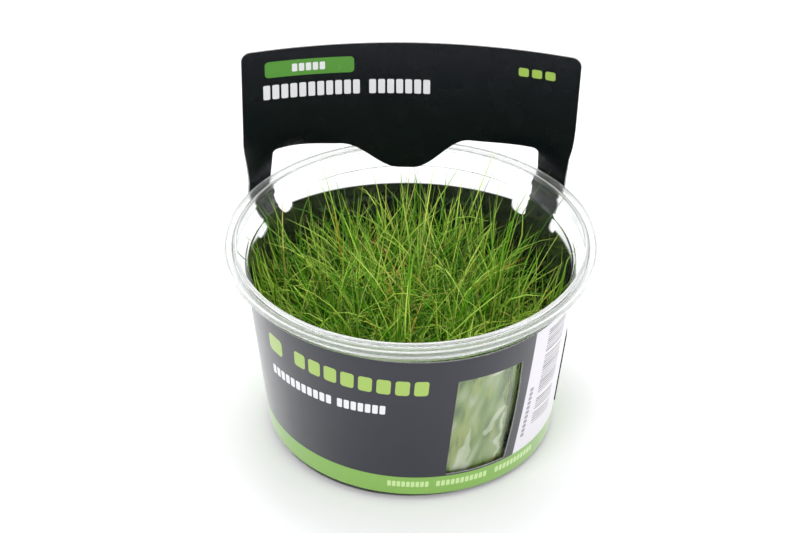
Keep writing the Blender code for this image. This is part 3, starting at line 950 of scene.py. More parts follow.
@dataclass
class Sleeve:
    """The die-cut card: a band round the cup, two legs that pass outside the rim, and the header.

    Places on the flat card are (degrees from the middle of the back, height), before the whole sleeve
    was pushed on askew.
    """

    UV_NAME = "card"
    UV_HEIGHT = 100.0 * MM

    cup: Cup
    card: float = 0.45 * MM
    card_gap: float = 0.45 * MM
    skew: float = 0.028
    band_bottom: float = 2.2 * MM
    band_top: float = 50.0 * MM
    band_front: float = 50.5 * MM
    back_edge: float = 47.4 * MM
    back_edge_rise: float = 2.2 * MM
    window: Four = (137.6, 163.35, 8.9 * MM, 42.8 * MM)
    window_slant: float = 3.0
    window_bow: float = 1.4
    leg_root: float = 48.2 * MM
    leg_bends: Four = (52.9 * MM, 54.1 * MM, 55.85 * MM, 58.5 * MM)
    leg_middles: Point2 = (-41.3 * MM, 38.9 * MM)
    collar_clearance: float = 0.7 * MM
    lip_clearance: float = 0.65 * MM
    leg_flare: float = 0.25 * MM
    leg_at_rim: float = 56.5 * MM
    leg_shaped: Point2 = (64.0 * MM, 66.5 * MM)
    leg_straight: Point2 = (71.0 * MM, 76.0 * MM)
    outer_left: Three = (-63.6, -60.9, -58.9)
    outer_right: Three = (59.5, 56.7, 55.3)
    header_low_right: float = 56.35
    inner_left: Point2 = (-53.7, -49.8)
    inner_right: Point2 = (47.0, 44.0)
    slot_width: Point2 = (5.6, 7.0)
    slot_top: Point2 = (49.2 * MM, 48.0 * MM)
    notch_width: Point2 = (8.0, 5.0)
    notch_top: Point2 = (48.4 * MM, 49.6 * MM)
    relief_depth: float = 1.6 * MM
    header_degrees: float = 57.5
    header_inner: Point2 = (-48.25, 44.0)
    header_half_width: float = 46.2 * MM
    header_top: float = 97.5 * MM
    header_tilt: float = 0.0137
    header_corner: float = 2.4 * MM
    header_bow: float = 7.5 * MM
    header_edge_y: float = 29.5 * MM
    header_edge_height: float = 77.0 * MM
    header_lean: float = math.tan(math.radians(3.0))
    cutout_ends: Point2 = (65.0 * MM, 67.6 * MM)
    cutout_top: Point2 = (66.05 * MM, 68.0 * MM)
    cutout_corner: float = 1.8 * MM
    tongue_tip: float = 58.35 * MM
    tongue: Point2 = (-3.3 * MM, 0.35 * MM)
    tongue_flare: float = 16.0 * MM
    twist: Point2 = (57.0 * MM, 72.0 * MM)
    held: Point2 = (0.35, 0.8)
    tab: Four = (79.5, 97.0, 9.0 * MM, 31.5 * MM)
    tab_corner: float = 3.0 * MM
    tab_inner: float = 0.235 * MM
    tab_outer: float = 0.575 * MM
    column: float = 2.0
    row: float = 2.0 * MM
    low_rows: tuple[float, ...] = (8.0 * MM, 16.0 * MM, 24.0 * MM, 32.0 * MM, 40.0 * MM)
    curve_steps: int = 24
    relief_steps: int = 12
    sharp_angle: float = math.radians(35)
    same_point: float = 0.001 * MM

    def card_radius(self, height: float) -> float:
        """Radius of the card's middle plane where it lies on the cup."""
        return self.cup.wall_radius(height) + self.card_gap + self.card / 2

    def leg_stations(self, side: int) -> tuple[list[float], list[float]]:
        """Where a leg bends out round the collar and the lip, which lie level while the card is askew.

        Args:
            side: 0 for the left leg, 1 for the right one.

        Returns:
            The heights on the card, and the radii of its middle plane there.
        """
        aslant = self.skew * self.leg_middles[side]
        clear_collar = self.cup.collar_radius + self.collar_clearance
        clear_lip = self.cup.rim_radius + self.lip_clearance
        heights = [self.leg_root] + [height + aslant for height in self.leg_bends]
        radii = [self.card_radius(self.leg_root), clear_collar, clear_collar, clear_lip]
        return heights, radii + [clear_lip + self.leg_flare]

    def slots(self) -> Point2:
        """Where the band's back edge meets the slots inside the left and the right leg."""
        return self.inner_left[0] + self.slot_width[0], self.inner_right[0] - self.slot_width[1]

    def above_band(self, degrees: float, height: float) -> bool:
        """Find whether a point of the flat card is on one of the legs or on the header.

        Args:
            degrees: the place round the card from the middle of its back.
            height: the height on the card.

        Returns:
            True on a leg or on the header, False on the band.
        """
        if height > (self.band_top + self.tongue_tip) / 2:
            return True
        slot_left = (self.slots()[0] + self.inner_left[1]) / 2
        slot_right = (self.slots()[1] + self.inner_right[1]) / 2
        left = self.outer_left[0] - self.notch_width[0] / 2 < degrees < slot_left
        right = slot_right < degrees < self.outer_right[0] + self.notch_width[1] / 2
        return height > self.leg_root and (left or right)

    def bend(self, degrees: float, height: float) -> Vector:
        """Place a point of the flat card in space.

        Args:
            degrees: the place round the card from the middle of its back.
            height: the height on the card.

        Returns:
            The point, before the sleeve's skew.
        """
        raised = self.above_band(degrees, height)
        radius = self.card_radius(height)
        if raised:
            radius = float(np.interp(height, *self.leg_stations(int(degrees > 0))))
        turn = math.radians(degrees)
        wrapped = Vector((radius * math.sin(turn), radius * math.cos(turn), height))
        on_leg_foot = height <= self.twist[0] and abs(degrees) > self.header_degrees / 2
        if on_leg_foot or not raised:
            return wrapped
        across = degrees / self.header_degrees
        bow = self.header_bow * (1 - across**2)
        y = self.header_edge_y + bow + self.header_lean * (height - self.header_edge_height)
        flat = Vector((self.header_half_width * across, y, height))
        hold = smooth_step(abs(across), *self.held)
        return wrapped.lerp(flat, 1 - hold * (1 - smooth_step(height, *self.twist)))

    def normal(self, degrees: float, height: float) -> Vector:
        """Outward normal of the bent card, from its slopes a hair's width to each side.

        Args:
            degrees: the place round the card from the middle of its back.
            height: the height on the card.

        Returns:
            The normal, one long.
        """
        step = 0.05
        along = self.bend(degrees + step, height) - self.bend(degrees - step, height)
        up = self.bend(degrees, height + step * MM) - self.bend(degrees, height - step * MM)
        return up.cross(along).normalized()

    def arc(self, centre: Point2, radius: Point2, start: float, end: float, steps: int = 8) -> list[Point2]:
        """Points on an arc of the flat card.

        Args:
            centre: the arc's centre.
            radius: its reach in degrees of card and in height.
            start: the angle that it starts at, in degrees.
            end: the angle that it ends at.
            steps: how many steps it takes.

        Returns:
            The points in order.
        """
        turns = [math.radians(start + (end - start) * step / steps) for step in range(steps + 1)]
        return [(centre[0] + radius[0] * math.cos(t), centre[1] + radius[1] * math.sin(t)) for t in turns]

    def relief(self, first: float, last: float, height: float) -> list[Point2]:
        """A round-bottomed relief cut at the root of a leg, from one side of it to the other."""
        turns = (180, 360) if first < last else (0, -180)
        reach = (abs(last - first) / 2, self.relief_depth)
        return self.arc(((first + last) / 2, height), reach, *turns, self.relief_steps)

    def back_rim(self) -> list[Point2]:
        """The band's top edge at the back, from the left slot to the right one: it dips in the middle."""
        places = np.linspace(*self.slots(), self.curve_steps + 1)
        heights = self.back_edge + self.back_edge_rise * np.linspace(-1, 1, self.curve_steps + 1) ** 2
        return [(float(place), float(height)) for place, height in zip(places, heights)]

    def to_degrees(self, x: float) -> float:
        """The place round the card of a point that stands x from the middle of the header."""
        return self.header_degrees * x / self.header_half_width

    def outline(self) -> list[Point2]:
        """The card's outer edge, from the left end of its bottom edge.

        Returns:
            The points in order.
        """
        corner = (self.to_degrees(self.header_corner), self.header_corner)
        corner_height = self.header_top - self.header_corner
        rise = self.header_tilt * self.header_half_width
        left, right = self.outer_left, self.outer_right
        points = [(-180.0, self.band_bottom), (180.0, self.band_bottom), (180.0, self.band_front)]
        points.append((90.0, self.band_top))
        points += self.relief(right[0] + self.notch_width[1], right[0], self.notch_top[1])
        points += [(right[1], self.leg_at_rim), (right[2], self.leg_shaped[1])]
        points.append((self.header_low_right, self.leg_straight[1]))
        points += self.arc((self.header_degrees - corner[0], corner_height + rise), corner, 0, 90)
        points += self.arc((-self.header_degrees + corner[0], corner_height - rise), corner, 90, 180)
        points += [(-self.header_degrees, self.leg_straight[0]), (left[2], self.leg_shaped[0])]
        points.append((left[1], self.leg_at_rim))
        points += self.relief(left[0], left[0] - self.notch_width[0], self.notch_top[0])
        points += [(-90.0, self.band_top), (-180.0, self.band_front)]
        return points

    def cutout(self) -> list[Point2]:
        """The opening between the legs, from the right leg's top round by the tongue and the band.

        Returns:
            The points in order.
        """
        steps = self.curve_steps
        corner = (self.to_degrees(self.cutout_corner), self.cutout_corner)
        left, right = self.header_inner
        slots = self.slots()
        points = [(self.inner_right[1], self.leg_at_rim)]
        points += self.arc((right - corner[0], self.cutout_ends[1] - corner[1]), corner, 0, 90)
        for side, sign, order in ((1, 1, range(steps, -1, -1)), (0, -1, range(steps + 1))):
            for step in order:
                part = step / steps
                drop = (self.cutout_top[side] - self.tongue_tip) * (1 + math.cos(math.pi * part)) / 2
                x = self.tongue[side] + sign * part * self.tongue_flare
                points.append((self.to_degrees(x), self.cutout_top[side] - drop))
        points += self.arc((left + corner[0], self.cutout_ends[0] - corner[1]), corner, 90, 180)
        points.append((self.inner_left[1], self.leg_at_rim))
        points += self.relief(self.inner_left[0], slots[0], self.slot_top[0]) + self.back_rim()
        points += self.relief(slots[1], self.inner_right[0], self.slot_top[1])
        return points

    def window_outline(self, steps: int = 8) -> list[Point2]:
        """The window's outline, whose sides lean as the print does.

        Args:
            steps: how many steps the bowed right side takes.

        Returns:
            The points in order.
        """
        start, end, low, high = self.window
        lean = self.window_slant
        points = [(end, high), (end + lean, low)]
        for part in np.linspace(0, 1, steps + 1):
            bow = self.window_bow * 4 * part * (1 - part)
            points.append((float(start + lean * (1 - part) - bow), float(low + (high - low) * part)))
        return points

    def tab_outline(self) -> list[Point2]:
        """The closing tab, with its free corners rounded.

        Returns:
            The points in order.
        """
        start, end, low, high = self.tab
        corner = (math.degrees(self.tab_corner / self.card_radius(high)), self.tab_corner)
        points = [(end, low), (end, high)]
        points += self.arc((start + corner[0], high - corner[1]), corner, 90, 180)
        points += self.arc((start + corner[0], low + corner[1]), corner, 180, 270)
        return points

    def flat(self, outlines: list[list[Point2]]) -> bmesh.types.BMesh:
        """Fill outlines as one flat card with holes, cut it into columns and rows, and lay its UVs.

        Args:
            outlines: closed outlines, the outer one first.

        Returns:
            The flat mesh, with degrees along X and height along Y.
        """
        bm = bmesh.new()
        for outline in outlines:
            verts = [bm.verts.new((degrees * MM, height, 0)) for degrees, height in outline]
            for first, second in zip(verts, verts[1:] + verts[:1]):
                bm.edges.new((first, second))
        bmesh.ops.remove_doubles(bm, verts=bm.verts, dist=self.same_point)
        bmesh.ops.triangle_fill(bm, use_beauty=True, edges=bm.edges)
        low, high = (pick(vert.co.x for vert in bm.verts) for pick in (min, max))
        columns = [(-180 + self.column * step) * MM for step in range(1, round(360 / self.column))]
        heights = set(self.low_rows)
        heights.update(float(height) for height in np.arange(self.leg_root, self.header_top, self.row))
        heights.update(self.leg_stations(0)[0] + self.leg_stations(1)[0])
        planes = [((place, 0, 0), (1, 0, 0)) for place in columns if low < place < high]
        planes += [((0, height, 0), (0, 1, 0)) for height in sorted(heights)]
        for place, across in planes:
            geometry = bm.verts[:] + bm.edges[:] + bm.faces[:]
            near = self.same_point / 10
            bmesh.ops.bisect_plane(bm, geom=geometry, dist=near, plane_co=place, plane_no=across)
        uv = bm.loops.layers.uv.new(self.UV_NAME)
        for face in bm.faces:
            for loop in face.loops:
                loop[uv].uv = (loop.vert.co.x / MM / 360 + 0.5, loop.vert.co.y / self.UV_HEIGHT)
        return bm

    def shell(self, bm: bmesh.types.BMesh, inner: float, outer: float) -> bpy.types.Mesh:
        """Bend a flat card into space and close it between two offsets from the card's middle plane.

        Args:
            bm: the flat card, which is used up.
            inner: offset of the side towards the cup.
            outer: offset of the side away from it.

        Returns:
            The closed mesh, with a face number for each side of the card.
        """
        uv = bm.loops.layers.uv[self.UV_NAME]
        normals = {}
        for vert in bm.verts:
            degrees, height = vert.co.x / MM, vert.co.y
            vert.co = self.bend(degrees, height)
            normals[vert] = self.normal(degrees, height)
        targets = bmesh.ops.find_doubles(bm, verts=bm.verts, dist=self.same_point)["targetmap"]
        bmesh.ops.weld_verts(bm, targetmap=targets)
        for face in bm.faces:
            face.normal_update()
            if face.normal.dot(normals[face.verts[0]]) < 0:
                face.normal_flip()
        rim = [edge for edge in bm.edges if edge.is_boundary]
        back = {}
        for vert in list(bm.verts):
            back[vert] = bm.verts.new(vert.co + normals[vert] * inner)
            vert.co = vert.co + normals[vert] * outer
        for face in list(bm.faces):
            face.material_index = Face.OUTSIDE.value
            places = {loop.vert: loop[uv].uv.copy() for loop in face.loops}
            other = bm.faces.new([back[vert] for vert in reversed(face.verts)])
            other.material_index = Face.INSIDE.value
            for loop, vert in zip(other.loops, reversed(face.verts)):
                loop[uv].uv = places[vert]
        for edge in rim:
            loop = next(link for link in edge.link_loops if link.face.material_index == Face.OUTSIDE.value)
            first, second = loop.vert, loop.link_loop_next.vert
            side = bm.faces.new((second, first, back[first], back[second]))
            side.material_index = Face.CUT_EDGE.value
        for vert in bm.verts:
            vert.co.z -= self.skew * vert.co.x
        return take_mesh("card", bm)

    def build(self) -> Piece:
        """Make the sleeve with its closing tab.

        Returns:
            The sleeve's object.
        """
        flat = self.flat([self.outline(), self.cutout(), self.window_outline()])
        card = self.shell(flat, -self.card / 2, self.card / 2)
        tab = self.shell(self.flat([self.tab_outline()]), self.tab_inner, self.tab_outer)
        # The whole tab, outer face and cut edges too, takes the near-black inside print; its end also stands in
        # for the shade in the gap under it: partly painted shade.
        for face in tab.polygons:
            face.material_index = Face.INSIDE.value
        bm = bmesh.new()
        bm.from_mesh(card)
        bm.from_mesh(tab)
        bm.to_mesh(card)
        bm.free()
        bpy.data.meshes.remove(tab)
        card.shade_smooth()
        card.set_sharp_from_angle(angle=self.sharp_angle)
        materials = [
            PrintedCard(Face.OUTSIDE, gloss=0.43, sheen=0.7).material(),
            PrintedCard(Face.INSIDE, roughness=0.26, gloss=0.2).material(),
            CutPaper().material(),
        ]
        sleeve = link_piece("card_sleeve", card, materials)
        hand_over(sleeve, Slot.CARD, "sleeve")
        return sleeve


@dataclass
class Gel:
    """The set culture gel, and the film of moisture and gel that the grass has left on the wall."""

    MILK = "milk"

    cup: Cup
    top: float = 10.0 * MM
    meniscus: float = 0.8 * MM
    gap: float = 0.3 * MM
    bottom_round: float = 1.6 * MM
    edge_steps: tuple[float, ...] = (0.3 * MM, 1.2 * MM, 2.4 * MM)
    edge_fall: float = 0.55
    uneven: float = 0.25 * MM
    uneven_cells: float = 260.0
    uneven_sink: float = 0.6
    segments: int = 120
    film_from: float = 10.0
    film_to: float = 38.2
    film_more: float = 2.4
    film_turn: Point2 = (30 * MM, 25 * MM)
    film_past: float = 1.5
    film_thin: float = 4.0
    film_low: float = 7.0 * MM
    film_high: float = 46.0 * MM
    film_step: float = 0.4 * MM
    film_gap: float = 0.08 * MM
    film_depth: float = 0.1 * MM
    smear_depth: float = 0.5 * MM
    edge_wave: float = 0.9
    edge_cells: float = 160.0
    smear_core: float = 0.6
    sway: float = 1.4
    sway_cells: Point2 = (0.35, 0.3)
    cloud_cells: Point2 = (0.2, 0.13)
    strand_cells: Point2 = (0.5, 0.1)
    strand_lean: float = 0.4
    ring_cells: Point2 = (0.33, 0.24)
    tone: float = 0.27
    tone_cloud: float = 0.4
    tone_strands: float = 0.3
    tone_rings: float = 0.16
    tone_under: float = 0.6
    degree_length: float = 0.73 * MM
    low_smear: Stroke = ((17.0, 23.0), (14.5, 10.0), 0.35, 3.2, 0.62)
    side_patch: Stroke = ((22.5, 20.0), (27.0, 27.0), 1.0, 1.0, 0.62)
    side_streak: Stroke = ((27.3, 24.0), (26.2, 10.0), 0.55, 0.75, 0.6)
    # The top streak and the high drop are partly milky gel and partly painted highlights: white marks for
    # glints on the wet wall.
    top_glint_streak: Stroke = ((22.6, 40.2), (28.6, 42.4), 0.35, 0.6, 0.75)
    high_glint_drop: Stroke = ((23.7, 40.6), (23.9, 41.4), 0.7, 0.8, 0.5)
    left_strand: Stroke = ((17.8, 40.5), (15.3, 27.0), 0.5, 0.6, 0.16)
    edge_drop: Stroke = ((27.4, 34.5), (26.9, 32.0), 0.4, 0.5, 0.3)

    def inside(self, height: float) -> float:
        """Inner radius of the cup's wall."""
        return self.cup.wall_radius(height) - self.cup.wall

    def build_block(self) -> Piece:
        """Make the layer in the bottom of the cup, with its edge drawn up the wall and an uneven top.

        Returns:
            The gel's object.
        """
        bottom = self.cup.base_recess + self.cup.wall + self.gap
        edge = self.inside(self.top) - self.gap
        low = self.top - self.meniscus
        side = bottom + self.bottom_round
        first, second, third = self.edge_steps
        profile = [(radius * MM, bottom) for radius in range(0, 36, 6)]
        profile += [(self.inside(bottom) - self.gap - self.bottom_round, bottom)]
        profile += [(self.inside(side) - self.gap, side), (edge, self.top), (edge - first, self.top)]
        profile += [(edge - second, self.top - self.edge_fall * self.meniscus), (edge - third, low)]
        profile += [(radius * MM, low) for radius in range(34, -1, -2)]
        mesh = turned_mesh("gel_block", profile, self.segments)
        for vert in mesh.vertices:
            if vert.co.z > low - self.uneven / 2 and vert.co.xy.length < edge - third + self.gap:
                vert.co.z += self.uneven * (noise.noise(vert.co * self.uneven_cells) - self.uneven_sink)
        gel = link_piece("culture_gel_block", mesh, [SetGel().material()])
        hand_over(gel, Slot.GEL, "culture_gel")
        return gel

    def film_edge(self, height: float) -> float:
        """Where the film ends on the right at a height, in degrees: it has run down in a wavy line."""
        wave = ripple(3.0, height * self.edge_cells, 0.0)
        return self.film_to + self.film_more * smooth_step(height, *self.film_turn) + self.edge_wave * wave

    def smeared(self, spot: Vector, stroke: Stroke) -> float:
        """How much of a smear lies on a spot: full along its line, with a fairly crisp side.

        Args:
            spot: the spot, as millimetres along the wall and height.
            stroke: the smear's start, end, width at each end and strength.

        Returns:
            Its strength at the spot.
        """
        start, end, first_width, last_width, strength = stroke
        way = Vector(end) - Vector(start)
        part = min(max((spot - Vector(start)).dot(way) / way.length_squared, 0.0), 1.0)
        away = (spot - Vector(start) - way * part).length
        width = first_width + (last_width - first_width) * part
        return strength * smooth_step(away, width, self.smear_core * width)

    def milk_and_glint_share(self, degrees: float, height: float) -> float:
        """How white the film is at a spot, from 0 for bare wet green to 1 for thick gel; two smears near the
        top also add painted highlights.

        Args:
            degrees: the place round the wall from its front.
            height: the height above the foot.

        Returns:
            The share of white.
        """
        arc, up = degrees * self.degree_length / MM, height / MM

        def soft(cells: Point2, layer: float, across: float = arc) -> float:
            """Soft noise at the spot, at its own scale."""
            return ripple(across * cells[0], up * cells[1], layer)

        spot = Vector((arc, up)) + self.sway * Vector((soft(self.sway_cells, 4.0), soft(self.sway_cells, 9.0)))
        strokes = (
            self.low_smear, self.side_patch, self.side_streak, self.top_glint_streak,
            self.high_glint_drop, self.left_strand, self.edge_drop,
        )
        smears = max(self.smeared(spot, stroke) for stroke in strokes)
        cloud = soft(self.cloud_cells, 1.0)
        strands = soft(self.strand_cells, 2.0, arc - self.strand_lean * up)
        cells = abs(soft(self.ring_cells, 7.0))
        rings = self.tone_rings * smooth_step(cells, 0.05, 0.0) * smooth_step(height, *self.film_turn)
        tone = self.tone + self.tone_cloud * cloud + self.tone_strands * strands + rings
        return min(max(tone * (1 - self.tone_under * smears) + smears, 0.0), 1.0)

    def build_film(self) -> Piece:
        """Make the film on the inside of the wall behind the window.

        Returns:
            The film's object, with its milkiness as an attribute.
        """
        turns = np.arange(self.film_from, self.film_to + self.film_past, self.film_step / self.degree_length)
        heights = np.arange(self.film_low, self.film_high, self.film_step)
        bm = bmesh.new()
        milk = bm.verts.layers.float.new(self.MILK)
        sheets: list[dict[tuple[int, int], bmesh.types.BMVert]] = [{}, {}]
        for row, height in enumerate(float(height) for height in heights):
            edge = self.film_edge(height)
            for column, degrees in enumerate(float(turn) for turn in turns):
                if degrees > edge:
                    continue
                white = self.milk_and_glint_share(degrees, height)
                inward = smooth_step(edge - degrees, 0.0, self.film_thin)
                thick = self.film_depth + self.smear_depth * white * inward
                for sheet, reach in zip(sheets, (self.film_gap, self.film_gap + thick)):
                    out = self.inside(height) - reach
                    turn = math.radians(degrees)
                    vert = bm.verts.new((out * math.sin(turn), -out * math.cos(turn), height))
                    vert[milk] = white
                    sheet[column, row] = vert
        front, back = sheets
        for column, row in front:
            ring = [(column, row), (column + 1, row), (column + 1, row + 1), (column, row + 1)]
            if all(key in front for key in ring):
                bm.faces.new([front[key] for key in ring])
                bm.faces.new([back[key] for key in reversed(ring)])
        partner = {front[key]: back[key] for key in front}
        for edge in [edge for edge in bm.edges if edge.is_boundary and edge.verts[0] in partner]:
            first, second = edge.verts
            bm.faces.new((first, second, partner[second], partner[first]))
        bmesh.ops.delete(bm, geom=[vert for vert in bm.verts if not vert.link_faces], context="VERTS")
        bmesh.ops.recalc_face_normals(bm, faces=bm.faces)
        mesh = take_mesh("film", bm)
        mesh.shade_smooth()
        film = link_piece("moisture_on_wall", mesh, [WallFilm().material()])
        hand_over(film, Slot.GEL)
        return film


@dataclass
class Grass:
    """Dense tufts of fine grass. Each tuft is one mesh of closed blades in place of its packed sheaf."""

    TINT = "tint"
    ALONG = "along"

    cup: Cup
    rings: tuple[tuple[int, float, float], ...] = (
        (1, 0.0, 0.0), (6, 11.3 * MM, 17.0), (11, 22.4 * MM, 34.0), (16, 33.0 * MM, 20.0)
    )
    open_place: int = 0
    gel_top: float = 9.2 * MM
    root_radius: float = 3.4 * MM
    blades: int = 120
    stages: int = 9
    sides: int = 4
    spread: float = 3.0
    root_depth: float = 0.8 * MM
    seed: int = 7000
    wall_seed: int = 41
    wall_gap: float = 0.7 * MM
    mouth_radius: float = 46.3 * MM
    rim_radius: float = 49.0 * MM
    above_shoulder: float = 1.2 * MM
    above_rim: float = 0.4 * MM
    soft_press: float = 2.5 * MM
    header_from: float = 30 * MM
    tongue_half: float = 21 * MM
    below_tongue: float = 57.3 * MM
    below_header: float = 63.5 * MM
    high_tip: float = 65.5 * MM
    back_tip: float = 57.0 * MM
    back_from: float = 22.0 * MM
    usual_length: float = 43.0 * MM
    length_spread: float = 6.0 * MM
    tall_share: float = 0.05
    tall_behind: float = 0.13
    tall_length: Point2 = (54.0 * MM, 66.0 * MM)
    tall_lean: float = 45.0
    tall_ramp: Point2 = (4 * MM, 16 * MM)
    wall_loss: float = 0.04
    back_loss: float = 0.22
    right_loss: float = 0.16
    wall_ramp: Point2 = (20 * MM, 33 * MM)
    back_ramp: Point2 = (0.0, 28 * MM)
    right_ramp: Point2 = (14 * MM, 30 * MM)
    outward_share: float = 0.5
    outward_swing: float = 0.5
    outward_ramp: Point2 = (15 * MM, 30 * MM)
    outward_left: Point2 = (26 * MM, 6 * MM)
    swerve: float = 0.35
    low_lean: Point2 = (3.0, 4.0)
    lean_shares: Three = (0.09, 0.32, 0.7)
    leans: tuple[Point2, ...] = ((3.0, 16.0), (16.0, 45.0), (45.0, 92.0), (92.0, 150.0))
    knee: Point2 = (0.35, 0.82)
    knee_width: Point2 = (0.15, 0.5)
    least_rise: float = 0.2
    thick: Point2 = (0.2 * MM, 0.4 * MM)
    flatness: float = 0.5
    narrowing: Three = (0.2, 0.72, 0.08)
    tip_length: float = 3.0
    pressed: int = 12
    pressed_from: Point2 = (37.8, 44.0)
    pressed_lean: Point2 = (-1.2, 1.8)
    pressed_foot: Point2 = (14.0 * MM, 26.0 * MM)
    pressed_rise: Point2 = (14.0 * MM, 22.0 * MM)
    pressed_depth: Point2 = (0.3, 0.5)
    pressed_curve: float = 1.5
    # Painted light: the blades on the wall take only the brighter greens, partly to stand in for light falling
    # on them there.
    pressed_lit_tint: Point2 = (0.5, 0.9)
    green: Point2 = (0.48, 0.38)
    old_share: float = 0.012
    straw_share: float = 0.045

    def places(self) -> list[Vector]:
        """Centres of the tufts on the gel, ring by ring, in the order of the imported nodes.

        Returns:
            The centres.
        """
        found = []
        for count, radius, ring_turn in self.rings:
            for step in range(count):
                if count == self.rings[-1][0] and step == self.open_place:
                    continue
                turn = math.radians(360 * step / count + ring_turn)
                found.append(Vector((radius * math.cos(turn), radius * math.sin(turn))))
        return found

    def room(self, height: np.ndarray) -> np.ndarray:
        """The radius that blades may reach at each height inside the cup."""
        inside = self.cup.wall_radius(height) - self.cup.wall - self.wall_gap
        mouth = np.where(height < self.cup.rim_height + self.above_rim, self.mouth_radius, self.rim_radius)
        return np.where(height < self.cup.shoulder_height + self.above_shoulder, inside, mouth)

    def lines(self, centre: Vector, chance: np.random.Generator) -> np.ndarray:
        """Centre lines of one tuft's blades: upright below, then each leans its own way.

        Args:
            centre: the tuft's place on the gel.
            chance: the tuft's own source of chance.

        Returns:
            Points as an array of (blade, stage, xyz).
        """
        count, stages = self.blades, self.stages
        turn = chance.uniform(0, 2 * np.pi, count)
        reach = self.root_radius * np.sqrt(chance.random(count))
        root = np.stack([centre.x + reach * np.cos(turn), centre.y + reach * np.sin(turn)], 1)
        outward = math.atan2(centre.y, centre.x) + chance.normal(0, self.outward_swing, count)
        to_wall = smooth_step(centre.length, *self.outward_ramp) * smooth_step(centre.x, *self.outward_left)
        leaves = chance.random(count) < self.outward_share * to_wall
        heading = np.where(leaves, outward, chance.uniform(0, 2 * np.pi, count))
        swerve = chance.normal(0, self.swerve, count)
        along = np.linspace(0, 1, stages + 1)
        low_lean = np.abs(chance.normal(*self.low_lean, count))
        kind = chance.random(count)
        *leans, widest = [chance.uniform(*lean, count) for lean in self.leans]
        high_lean = np.select([kind < share for share in self.lean_shares], leans, widest)
        knee = chance.uniform(*self.knee, count)
        width = chance.uniform(*self.knee_width, count)
        part = np.clip((along[None, :] - (knee - width)[:, None]) / (2 * width[:, None]), 0, 1)
        part = part * part * (3 - 2 * part)
        tilt = np.radians(low_lean[:, None] + (high_lean - low_lean)[:, None] * part)
        facing = heading[:, None] + swerve[:, None] * along[None, :]
        step = np.stack([np.sin(tilt) * np.cos(facing), np.sin(tilt) * np.sin(facing), np.cos(tilt)], 2)
        way = np.cumsum((step[:, 1:] + step[:, :-1]) / 2 / stages, 1)
        path = np.concatenate([np.zeros((count, 1, 3)), way], 1)
        length = chance.normal(self.usual_length, self.length_spread, count)
        more = self.tall_behind * smooth_step(centre.y, *self.tall_ramp)
        tall = (chance.random(count) < self.tall_share + more) & (high_lean < self.tall_lean)
        length = np.where(tall, chance.uniform(*self.tall_length, count), length)
        length *= self.size_at(centre)
        highest = self.back_tip if centre.y > self.back_from else self.high_tip
        top = np.maximum(path[:, :, 2].max(1), self.least_rise)
        length = np.minimum(length, (highest - self.gel_top) / top)
        points = path * length[:, None, None]
        points[:, :, :2] += root[:, None, :]
        points[:, :, 2] += self.gel_top - self.root_depth
        widen = 1 + self.spread * np.maximum(points[:, :, 2] - self.gel_top, 0)
        points[:, :, :2] *= widen[:, :, None]
        return self.keep_inside(points)

    def size_at(self, centre: Vector) -> float:
        """How long blades grow at a place: shorter by the wall, and shortest at the back."""
        at_back = self.back_loss * smooth_step(centre.y, *self.back_ramp)
        at_right = self.right_loss * smooth_step(centre.x, *self.right_ramp)
        return 1 - smooth_step(centre.length, *self.wall_ramp) * (self.wall_loss + at_back + at_right)

    def keep_inside(self, points: np.ndarray) -> np.ndarray:
        """Press blades softly against the cup's wall, and drop those that would touch the header or its tongue.

        Args:
            points: centre lines as (blade, stage, xyz).

        Returns:
            The centre lines that are kept.
        """
        radius = np.linalg.norm(points[:, :, :2], axis=2)
        limit = self.room(points[:, :, 2])
        soft = self.soft_press
        over = np.maximum(radius - (limit - soft), 0)
        kept = np.minimum(radius, limit - soft) + soft * (1 - np.exp(-over / soft))
        points[:, :, :2] *= (kept / np.maximum(radius, 1e-9))[:, :, None]
        x, y, z = (points[:, :, axis] for axis in range(3))
        highest = np.where(np.abs(x) < self.tongue_half, self.below_tongue, self.below_header)
        by_header = (y > self.header_from) & (z > highest)
        return points[~by_header.any(axis=1)]

    def blade_mesh(
        self, name: str, points: np.ndarray, tint: np.ndarray, chance: np.random.Generator
    ) -> bpy.types.Mesh:
        """Make joined closed blades along centre lines.

        Args:
            name: the mesh's name.
            points: centre lines as (blade, stage, xyz).
            tint: each blade's place on the colour ramp.
            chance: the source of chance.

        Returns:
            The mesh, with each blade's tint and the place along it as attributes.
        """
        count, rings, sides = len(points), points.shape[1], self.sides
        slope = np.gradient(points, axis=1)
        slope /= np.linalg.norm(slope, axis=2, keepdims=True)
        facing = chance.uniform(0, np.pi, count)
        guide = np.stack([np.cos(facing), np.sin(facing), np.zeros(count)], 1)[:, None, :]
        across = np.cross(slope, guide)
        across /= np.linalg.norm(across, axis=2, keepdims=True)
        out = np.cross(slope, across)
        along = np.linspace(0, 1, rings)
        steady, sudden, least = self.narrowing
        taper = np.clip(1.0 - steady * along - sudden * along**5, least, 1)
        size = chance.uniform(*self.thick, count)[:, None] * taper[None, :]
        turns = 2 * np.pi * np.arange(sides) / sides
        offset = np.cos(turns)[:, None] * across[:, :, None, :]
        offset = offset + self.flatness * np.sin(turns)[:, None] * out[:, :, None, :]
        verts = points[:, :, None, :] + offset * size[:, :, None, None]
        tips = points[:, -1] + slope[:, -1] * size[:, -1:] * self.tip_length
        tube = verts.reshape(-1, 3)
        faces = []
        for blade in range(count):
            base = blade * rings * sides
            tip = len(tube) + blade
            faces.append([base + side for side in reversed(range(sides))])
            for ring in range(rings - 1):
                low = base + ring * sides
                for side in range(sides):
                    after = (side + 1) % sides
                    faces.append((low + side, low + after, low + sides + after, low + sides + side))
            last = base + (rings - 1) * sides
            faces += [(last + side, last + (side + 1) % sides, tip) for side in range(sides)]
